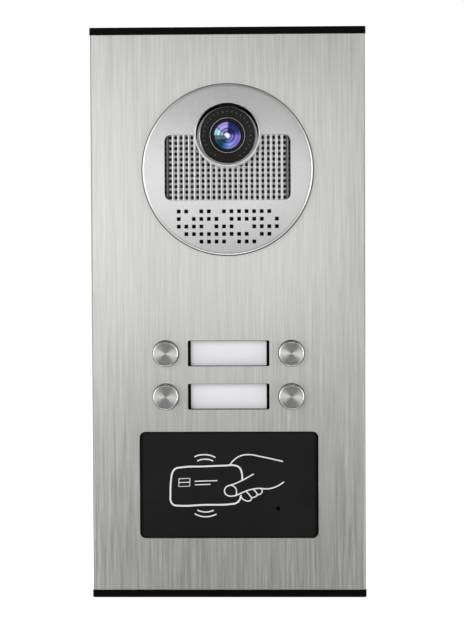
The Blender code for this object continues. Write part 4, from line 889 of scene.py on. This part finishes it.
def soundHoleTool():
    made = []
    half = soundHoles["size"] / 2
    near = flangeFront - soundHoles["reach"][0]
    far = flangeFront + soundHoles["reach"][1]
    for row, pattern in enumerate(soundHoles["rows"]):
        up = bezelAt.z - soundHoles["topDrop"] - row * soundHoles["pitch"]
        for column, mark in enumerate(pattern):
            if mark == "1":
                across = (column - (soundHoles["columns"] - 1) / 2) * soundHoles["pitch"]
                low = (across - half, near, up - half)
                high = (across + half, far, up + half)
                made.append(block("soundHole", low, high))
    return joined(made)


def makeGrille():
    pitchX, pitchZ = grille["pitch"]
    columns, rows = grille["count"]
    startX = grilleStart
    startZ = bezelAt.z + bezel["grilleRise"] - pitchZ * (rows - 1) / 2
    deselectAll()
    bpy.ops.mesh.primitive_plane_add(size=1, location=(startX, 0, startZ), rotation=(math.pi / 2, 0, 0))
    tile = newest("grilleSheet")
    tile.scale = (pitchX, pitchZ, 1)
    settle(tile)
    half = grille["groove"] / 2
    cuts = []
    for side in (-1, 1):
        for extra in (0, grille["slope"]):
            cuts.append(((startX + side * (half + extra), 0, startZ), (1, 0, 0)))
    for side in (-1, 1):
        cuts.append(((startX, 0, startZ + side * grille["hole"] / 2), (0, 0, 1)))
    for place, normal in cuts:
        editMode(tile, "FACE")
        bpy.ops.mesh.select_all(action="SELECT")
        bpy.ops.mesh.bisect(plane_co=place, plane_no=normal)
    shoulder = (half + grille["slope"], grille["shoulder"])
    channel = (half, grille["depth"] - grille["shoulder"])
    for reach, drop in (shoulder, channel):
        selectFaces(tile, lambda at, facing: abs(at.x - startX) < reach)
        bpy.ops.transform.translate(value=(0, drop, 0))
        leaveEdit()
    tall = grille["hole"] / 2
    selectFaces(tile, lambda at, facing: abs(at.x - startX) < half and abs(at.z - startZ) < tall)
    bpy.ops.mesh.delete(type="FACE")
    leaveEdit()
    for count, step in ((columns, (pitchX, 0, 0)), (rows, (0, 0, pitchZ))):
        applyModifier(
            tile,
            "ARRAY",
            count=count,
            use_relative_offset=False,
            use_constant_offset=True,
            constant_offset_displace=step,
            use_merge_vertices=True,
            merge_threshold=0.00001,
        )
    edge = pitchX * (columns / 2 - 1)
    for vertex in tile.data.vertices:        # follow the dome, and fall away at the two sides
        across = vertex.co.x - bezelAt.x
        up = vertex.co.z - bezelAt.z
        vertex.co.y += domeY(math.hypot(across, up)) + grille["sunk"]
        if abs(across) > edge:
            vertex.co.y += grille["edgeDrop"] * (abs(across) - edge) / pitchX
    editMode(tile, "FACE")
    bpy.ops.mesh.select_all(action="SELECT")
    bpy.ops.mesh.normals_make_consistent(inside=False)
    leaveEdit()
    if tile.data.polygons[0].normal.y > 0:
        tile.data.flip_normals()
    applyModifier(tile, "SOLIDIFY", thickness=grille["thickness"], offset=-1)
    profile = [(grille["clearance"], cutNear), (grille["clearance"], cutFar)]
    combine(tile, roundPiece("lensClearance", lensAt, profile, steps=96), "DIFFERENCE")
    smooth(tile, angle=32)
    hold(tile, "grille_metal", "led_grille")


lens = {
    "ringOuter": 13.85 * mm,
    "rimWidth": 0.42 * mm,
    "lipRadius": 15.30 * mm,
    "lipDim": 0.40,
    "lipDrop": 0.95 * mm,        # the lip sits low, so it shows at the sides and not above
    "ringInner": 9.2 * mm,
    "dish": 0.5 * mm,
    "trimOuter": 9.0 * mm,
    "trimInner": 8.5 * mm,
    "glassRadius": 7.1 * mm,
    "markRadius": 12.1 * mm,
    "markGap": math.radians(64),        # left free at the bottom
    "markCount": 27,
    "markSize": (0.28 * mm, 0.10 * mm),
    "markLong": 1.5 * mm,        # every third one
    "markShort": 0.7 * mm,
    "markProud": 0.01 * mm,
    "ringBevel": (0.5 * mm, 0.25 * mm),
    "dishBevel": (0.3 * mm, 0.1 * mm),
    "rimGap": 0.02 * mm,
    "rimProud": (0.15 * mm, 0.05 * mm),        # at its inner and outer edge
    "lipPlace": (0.05 * mm, 0.6 * mm),
    "lipGap": 0.03 * mm,
    "lipCut": (1 * mm, 2 * mm),        # how far the cuts run ahead and behind
    "trimBevel": 0.2 * mm,
    "trimDrop": (0.3 * mm, 0.25 * mm),        # at its inner and outer edge
    "glassRings": 10,
    "glassDome": 1.2 * mm,
    "glassBack": 0.3,        # its back's radius, in parts of its own
}


def makeLens():
    low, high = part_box("lens_ring")
    makeLensRing(low.y, high.y)
    makeRim(low.y, high.y)
    makeLip(low.y)
    makeTrim()
    makeLensMarks(low.y)
    makeGlass()


def makeLensRing(front, back):
    outer, inner = lens["ringOuter"], lens["ringInner"]
    bevel, drop = lens["ringBevel"]
    dishBevel, dishDrop = lens["dishBevel"]
    profile = [
        (outer, front + drop),
        (outer, back),
        (inner, back),
        (inner, front + lens["dish"] + dishDrop),
        (inner + dishBevel, front + lens["dish"]),
        (outer - bevel, front),
        (outer, front + drop),
    ]
    ring = roundPiece("lensRing", lensAt, profile, steps=120, closed=True)
    smooth(ring, angle=30)
    hold(ring, "lens_plastic", "lens_ring")


def makeRim(front, back):        # the bright line round the ring
    inner = lens["ringOuter"] + lens["rimGap"]
    outer = lens["ringOuter"] + lens["rimWidth"]
    start = (inner, front - lens["rimProud"][0])
    profile = [start, (outer, front - lens["rimProud"][1]), (outer, back), (inner, back), start]
    rim = roundPiece("lensRim", lensAt, profile, steps=120, closed=True)
    smooth(rim, angle=30)
    hold(rim, "trim_steel")


def makeLip(front):        # a shaded step between the rim and the collar
    near, far = front - lens["lipCut"][0], front + lens["lipCut"][1]
    radius = lens["lipRadius"]
    profile = [(radius, front + place) for place in lens["lipPlace"]]
    lip = roundPiece("lensLip", lensAt - Vector((0, 0, lens["lipDrop"])), profile, steps=128)
    hollow = lens["ringOuter"] + lens["rimWidth"] + lens["lipGap"]
    tool = roundPiece("lipHole", lensAt, [(hollow, near), (hollow, far)], steps=128)
    combine(lip, tool, "DIFFERENCE")
    bound = bezel["collarBore"] - lens["lipGap"]
    tool = roundPiece("lipEdge", boreAt, [(bound, near), (bound, far)], steps=128)
    combine(lip, tool, "INTERSECT")
    smooth(lip, angle=30)
    hold(lip, "bezel_paint", material=silverPaint("shadedPaint", lens["lipDim"]))


def makeTrim():
    low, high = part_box("lens_trim_ring")
    outer, inner = lens["trimOuter"], lens["trimInner"]
    bevel = lens["trimBevel"]
    start = (inner, low.y + lens["trimDrop"][0])
    profile = [
        start,
        (inner + bevel, low.y),
        (outer - bevel, low.y),
        (outer, low.y + lens["trimDrop"][1]),
        (outer, high.y),
        (inner, high.y),
        start,
    ]
    trim = roundPiece("lensTrim", lensAt, profile, steps=96, closed=True)
    smooth(trim, angle=40)
    hold(trim, "trim_steel", "lens_trim_ring")


def makeLensMarks(front):
    # plain dial marks: long and short dashes round the ring, none of them letters
    made = []
    count = lens["markCount"]
    outward = lens["ringOuter"] - lens["markRadius"]
    slope = lens["dish"] * outward / (lens["ringOuter"] - lens["ringInner"])
    place = (lensAt.x, front + slope - lens["markProud"], lensAt.z)
    for index in range(count):
        share = index / (count - 1) - 0.5
        turn = share * (2 * math.pi - lens["markGap"])        # from straight up, clockwise
        length = lens["markLong"] if index % 3 == 0 else lens["markShort"]
        deselectAll()
        bpy.ops.mesh.primitive_cube_add(
            size=1, location=(0, 0, lens["markRadius"]), scale=(*lens["markSize"], length)
        )
        mark = settle(newest("lensMark"))
        mark.data.transform(Matrix.Rotation(turn, 4, "Y"))
        mark.data.transform(Matrix.Translation(place))
        made.append(mark)
    marks = joined(made)
    marks.name = "lensMarks"
    hold(marks, "lens_plastic", material=printGrey)


def makeGlass():
    low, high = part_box("front_lens")
    radius = lens["glassRadius"]
    rings = lens["glassRings"]
    profile = []
    for index in range(rings):
        reach = radius * (index + 1) / rings
        profile.append((reach, low.y + lens["glassDome"] * (reach / radius) ** 2))
    profile += [(radius, high.y), (radius * lens["glassBack"], high.y)]
    glass = roundPiece("lensGlass", lensAt, profile, steps=96)
    smooth(glass, angle=50)
    hold(glass, "lens_glass", "front_lens", material=coatedLens(lensAt, radius))


button = {
    "face": 5.55 * mm,
    "rim": 6.45 * mm,
    "sink": 0.18 * mm,        # the face lies this far below the rim
    "ledge": (0.05 * mm, 0.12 * mm, 0.22 * mm),        # the step from face to rim
    "ledgeDrop": 0.02 * mm,
    "round": 0.75 * mm,
    "roundSteps": 4,
    "panelWall": 2.0 * mm,
    "wallGap": 0.3 * mm,
    "flange": 1.2 * mm,
    "stem": 1.5 * mm,
    "gasket": 0.34 * mm,
    "gasketGap": 0.03 * mm,
    "gasketHeight": 0.06 * mm,
}
rimClearance = button["rim"] + button["gasketGap"]


def makeButton(number):
    node = "button_cap_" + str(number)
    low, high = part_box(node)
    centre = middle(node)
    front = low.y
    face, rim = button["face"], button["rim"]
    wallBack = frontY + button["panelWall"] + button["wallGap"]
    flange = (high.x - low.x) / 2
    flangeEnd = wallBack + button["flange"]
    faceY = front + button["sink"]
    inset, step, ledge = button["ledge"]
    profile = [
        (face * 0.25, faceY),
        (face * 0.6, faceY),
        (face - inset, faceY),
        (face + step, front + button["ledgeDrop"]),
        (face + ledge, front),
    ]
    spare = rim - face - ledge
    for index in range(1, button["roundSteps"] + 1):
        turn = math.pi / 2 * index / button["roundSteps"]
        drop = button["round"] * (1 - math.cos(turn))
        profile.append((face + ledge + spare * math.sin(turn), front + drop))
    profile += [(rim, wallBack), (flange, wallBack), (flange, flangeEnd)]
    profile += [(button["stem"], flangeEnd), (button["stem"], high.y)]
    cap = roundPiece("callButton" + str(number), centre, profile, steps=72)
    smooth(cap, angle=30)
    makeGasket(number, centre)
    steel = turnedSteel(centre, face / mm)
    hold(cap, "button_steel", node, body="button_" + str(number), material=steel)


def makeGasket(number, centre):        # a thin dark rubber ring where the button goes through the panel, put there as painted shade for the shadow line round the button
    inner, outer = rimClearance, rimClearance + button["gasket"]
    front = frontY - button["gasketHeight"]
    profile = [(inner, front), (outer, front), (outer, frontY), (inner, frontY), (inner, front)]
    gasket = roundPiece("buttonShadowGasket" + str(number), centre, profile, steps=72, closed=True)
    smooth(gasket, angle=30)
    hold(gasket, "soft_rubber")


def makeSpring(number):        # a copy of the coil, held on the housing with a mesh of its own
    node = "button_spring_" + str(number)
    spring = copyNode(node, "_coil")
    hold(spring, slots[node], node)
    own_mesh(spring)


card = {"below": 0.40 * mm, "over": 0.22 * mm, "corner": 0.3 * mm}


def makeCard(node):        # the paper is a little taller than the CAD one, inside its window
    low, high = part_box(node)
    paper = block(
        node.replace("name_card", "nameCard").replace("_", ""),
        (low.x, low.y, low.z - card["below"]),
        (high.x, high.y, high.z + card["over"]),
        card["corner"],
        steps=3,
    )
    hold(paper, slots[node], node)


reader = {
    "inset": 2.3 * mm,
    "corner": 2.8 * mm,
    "sideBevel": (1.5 * mm, 0.7 * mm),        # wide at the two sides, narrow above and below
    "bevelDepth": 0.55 * mm,
    "dot": (25.0 * mm, -12.1 * mm),
    "dotRadius": 1.10 * mm,
    "softEdge": 0.12 * mm,
    "printLift": 0.02 * mm,
    "printFlat": 0.12,        # how flat the printed lines are pressed
}


def makeReader():
    low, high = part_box("reader_window")
    width = (high.x - low.x) / 2 - reader["inset"]
    height = (high.z - low.z) / 2 - reader["inset"]
    front = low.y
    window = block(
        "readerWindow",
        (readerAt.x - width, front + reader["bevelDepth"], readerAt.z - height),
        (readerAt.x + width, high.y, readerAt.z + height),
        reader["corner"],
        steps=8,
    )
    selectFaces(window, lambda at, facing: facing.y < -0.9)
    bpy.ops.mesh.extrude_region_move(TRANSFORM_OT_translate={"value": (0, -reader["bevelDepth"], 0)})
    side, tall = reader["sideBevel"]
    bpy.ops.transform.resize(
        value=((width - side) / width, 1, (height - tall) / height),
        center_override=(readerAt.x, front, readerAt.z),
    )
    leaveEdit()
    dotAt = Vector((readerAt.x + reader["dot"][0], 0, readerAt.z + reader["dot"][1]))
    profile = [(reader["dotRadius"], front - 1 * mm), (reader["dotRadius"], high.y + 1 * mm)]
    combine(window, roundPiece("dotHole", dotAt, profile, steps=32), "DIFFERENCE")
    softEdges(window, reader["softEdge"], segments=2, angle=14)
    hold(window, "reader_plastic", "reader_window")
    makeSymbol(front)


def stroke(name, points, width, front, curved):
    # a printed line: a curve laid on the window, pressed flat
    deselectAll()
    bpy.ops.curve.primitive_bezier_curve_add(location=(0, 0, 0))
    line = newest(name)
    spline = line.data.splines[0]
    spline.bezier_points.add(len(points) - 2)
    for point, (across, up) in zip(spline.bezier_points, points):
        point.co = (across * mm, 0, up * mm)
        point.handle_left_type = "AUTO" if curved else "VECTOR"
        point.handle_right_type = "AUTO" if curved else "VECTOR"
    line.data.dimensions = "3D"
    line.data.resolution_u = 10
    line.data.bevel_depth = width
    line.data.bevel_resolution = 2
    line.data.use_fill_caps = True
    pick(line)
    bpy.ops.object.convert(target="MESH")
    line = newest(name)
    line.scale = (1, reader["printFlat"], 1)
    line.location = (readerAt.x, front - reader["printLift"], readerAt.z)
    return settle(line)


symbolLines = {        # name: (line radius, points from the window's centre), in millimetres
    "cardLine": (0.43, (
        (6.7, 2.3), (6.55, 5.8), (5.5, 8.6), (3.2, 9.9), (-1.8, 9.9), (-12.7, 9.5), (-24.4, 9.0),
        (-27.6, 8.2), (-29.1, 5.8), (-29.5, 3.6), (-30.0, -5.1), (-29.8, -8.4), (-28.3, -10.2),
        (-25.8, -10.6), (-12.7, -10.2), (1.2, -9.8), (3.7, -9.2), (5.3, -7.7), (6.0, -5.2),
    )),
    "waveTopOuter": (0.32, ((-17.6, 14.4), (-15.6, 15.2), (-12.7, 15.5), (-9.4, 15.1), (-6.9, 14.0))),
    "waveTopInner": (0.32, ((-16.2, 12.3), (-14.2, 13.0), (-12.0, 13.2), (-9.8, 12.9), (-8.1, 12.2))),
    "waveLowInner": (0.32, ((-16.3, -12.9), (-14.2, -13.6), (-12.0, -13.9), (-9.8, -13.6), (-7.9, -13.0))),
    "waveLowOuter": (0.32, ((-17.7, -14.7), (-15.6, -15.7), (-12.7, -16.3), (-9.4, -16.0), (-6.5, -15.0))),
    "handTop": (0.32, ((0.3, 10.1), (2.3, 12.5), (5.5, 14.7), (9.6, 15.5), (16.5, 14.4), (27.4, 12.0))),
    "thumbTop": (0.32, ((12.6, 5.6), (7.0, 2.5), (2.6, 0.5), (0.8, 0.0))),
    "thumbUnder": (0.32, (
        (0.8, 0.0), (-1.7, -1.3), (-2.3, -3.6), (-1.0, -5.3), (2.6, -5.6), (5.5, -4.5), (9.9, -2.7),
        (15.0, -1.8), (20.1, -2.0), (24.5, -0.7), (28.0, 1.5),
    )),
    "nailLine": (0.31, ((0.8, 0.0), (3.1, -1.4), (3.8, -3.6), (3.5, -5.3))),
    "fingerFirst": (0.31, (
        (6.0, -5.1), (6.4, -6.6), (8.1, -7.9), (10.3, -8.2), (11.4, -7.1), (10.3, -5.1), (8.8, -3.4),
    )),
    "fingerSecond": (0.30, ((11.2, -6.6), (12.8, -6.3), (14.3, -5.1), (13.6, -3.6), (12.3, -2.2))),
    "fingerThird": (0.30, ((14.2, -5.2), (16.1, -4.5), (16.9, -2.9), (16.1, -1.8))),
    "chipLine": (0.22, ((-25.6, 3.2), (-20.0, 3.4), (-20.1, -0.6), (-25.7, -0.8), (-25.6, 3.2))),
    "chipSplit": (0.22, ((-25.6, 1.25), (-20.05, 1.4))),
    "barLong": (0.26, ((-17.5, 1.9), (-6.0, 2.2))),
    "barShort": (0.26, ((-17.5, 0.1), (-9.5, 0.3))),
}
straightLines = ("chipLine", "chipSplit", "barLong", "barShort")


def makeSymbol(front):
    made = []
    for name, (radius, points) in symbolLines.items():
        made.append(stroke(name, points, radius * mm, front, name not in straightLines))
    drawing = joined(made)
    drawing.name = "cardSymbol"
    smooth(drawing, angle=60)
    hold(drawing, "reader_plastic", material=printWhite)


for name, width in edgeWidths.items():
    refine(name, width)
print("parts with rounded edges:", len(edgeWidths))
makeBezel()
makeSeal()
print("bezel made")
makeGrille()
makeLens()
print("lens and grille made")
for number in range(1, 5):
    makeButton(number)
    makeSpring(number)
makeCard("name_card_upper")
makeCard("name_card_lower")
makeReader()
print("buttons and reader made")

studio = {
    "floorDrop": 0.5 * mm,
    "floorSize": 6.0,
    "floorGlow": 0.86,
    "ambient": 0.32,        # light from all round
    "backdrop": 1.05,        # how bright the background is to the camera
    "table": 1.3,        # a pale table straight below, seen only in shiny parts
    "tableStart": (-0.72, -0.90),
    "mirrored": (0.02, 0.66),        # what shiny parts see ahead, and at the sides and back
    "sideStart": (0.42, 0.64),
    "rearShift": 0.5,
    "key": {"at": (-0.44, -2.6, 0.13), "size": (2.2, 0.66), "power": 5.3},
    "front": {"at": (-1.2, -1.6, 0.8), "size": (0.7, 0.7), "power": 17.0, "matte": True},
    "left": {"at": (-1.7, -1.0, 0.20), "size": (1.0, 1.6), "power": 9.0},
    "right": {"at": (1.7, -1.0, 0.05), "size": (0.9, 1.5), "power": 8.5},
    "above": {"at": (-0.3, -0.3, 2.2), "size": (1.6, 1.2), "power": 14.0, "matte": True},
    "back": {"at": (0.4, 1.9, 1.4), "size": (1.8, 1.4), "power": 16.0},
}


def softbox(name, at, size, power, matte=False):        # a matte light leaves no glint
    deselectAll()
    bpy.ops.object.light_add(type="AREA", location=at)
    light = bpy.context.view_layer.objects.active
    light.name = name
    light.data.shape = "RECTANGLE"
    light.data.size, light.data.size_y = size
    light.data.energy = power
    toward = Vector((0, 0, 0)) - Vector(at)
    light.rotation_euler = toward.to_track_quat("-Z", "Y").to_euler()
    light.visible_glossy = not matte
    return light


def makeWorld():
    world = bpy.data.worlds.new("studioWorld")
    bpy.context.scene.world = world
    world.use_nodes = True
    tree = world.node_tree

    def added(kind, *values, **settings):        # values are other nodes' outputs or numbers
        made = tree.nodes.new(kind)
        for key, value in settings.items():
            setattr(made, key, value)
        for socket, value in zip(made.inputs, values):
            if hasattr(value, "is_linked"):
                tree.links.new(value, socket)
            else:
                socket.default_value = value
        return made

    def calculated(operation, first, *second):
        return added("ShaderNodeMath", first, *second, operation=operation).outputs[0]

    white = (1, 1, 1, 1)
    path = added("ShaderNodeLightPath").outputs
    parts = added("ShaderNodeSeparateXYZ", added("ShaderNodeTexCoord").outputs["Generated"]).outputs
    aside = calculated("ABSOLUTE", parts["X"])
    behind = calculated("ADD", parts["Y"], studio["rearShift"])
    widest = calculated("MAXIMUM", aside, behind)
    spread = added(
        "ShaderNodeMapRange",
        widest,
        *studio["sideStart"],
        *studio["mirrored"],
        interpolation_type="SMOOTHSTEP",
    )
    below = added("ShaderNodeMapRange", parts["Z"], *studio["tableStart"], 0.0, studio["table"])
    total = calculated("ADD", spread.outputs["Result"], below.outputs["Result"])
    mirrored = added("ShaderNodeBackground", white, total).outputs[0]
    backdrop = added("ShaderNodeBackground", white, studio["backdrop"]).outputs[0]
    dim = tree.nodes["Background"]
    dim.inputs["Color"].default_value = white
    dim.inputs["Strength"].default_value = studio["ambient"]
    glossy = added("ShaderNodeMixShader", path["Is Glossy Ray"], dim.outputs[0], mirrored).outputs[0]
    seen = added("ShaderNodeMixShader", path["Is Camera Ray"], glossy, backdrop).outputs[0]
    tree.links.new(seen, tree.nodes["World Output"].inputs["Surface"])


def makeStage():
    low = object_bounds()[0]
    deselectAll()
    place = (0, 0, low[2] - studio["floorDrop"])
    bpy.ops.mesh.primitive_plane_add(size=studio["floorSize"], location=place)
    floor = newest("studioFloor")
    finish = Finish("studioWhite", (0.5, 0.5, 0.5), 0.9)
    finish.set("Emission Color", (1, 1, 1, 1))
    finish.set("Emission Strength", studio["floorGlow"])
    floor.data.materials.append(finish.material)
    floor.visible_glossy = False
    makeWorld()
    for name in ("key", "front", "left", "right", "above", "back"):
        softbox(name + "Softbox", **studio[name])
    bpy.context.scene.view_settings.view_transform = "Standard"


view = {
    "distance": 870.5 * mm,        # from the panel's front
    "right": 21.3 * mm,
    "up": 29.7 * mm,
    "lens": 100,
    "sensor": 36,
    "nearest": 0.02,        # metres
    "rightAxis": (0.99974, 0.02216, -0.00445),
    "forward": (-0.02229, 0.99926, -0.03123),
}


def makeCamera():
    deselectAll()
    bpy.ops.object.camera_add(location=(0, 0, 0))
    camera = bpy.context.view_layer.objects.active
    forward = Vector(view["forward"]).normalized()
    right = Vector(view["rightAxis"])
    right = (right - forward * right.dot(forward)).normalized()
    up = right.cross(forward)
    turn = Matrix((right, up, -forward)).transposed().to_4x4()
    place = Matrix.Translation((view["right"], frontY - view["distance"], view["up"]))
    camera.matrix_world = place @ turn
    camera.data.lens = view["lens"]
    camera.data.sensor_width = view["sensor"]
    camera.data.clip_start = view["nearest"]
    bpy.context.scene.camera = camera


makeStage()
makeCamera()
print("stage, lights and camera made")

deselectAll()
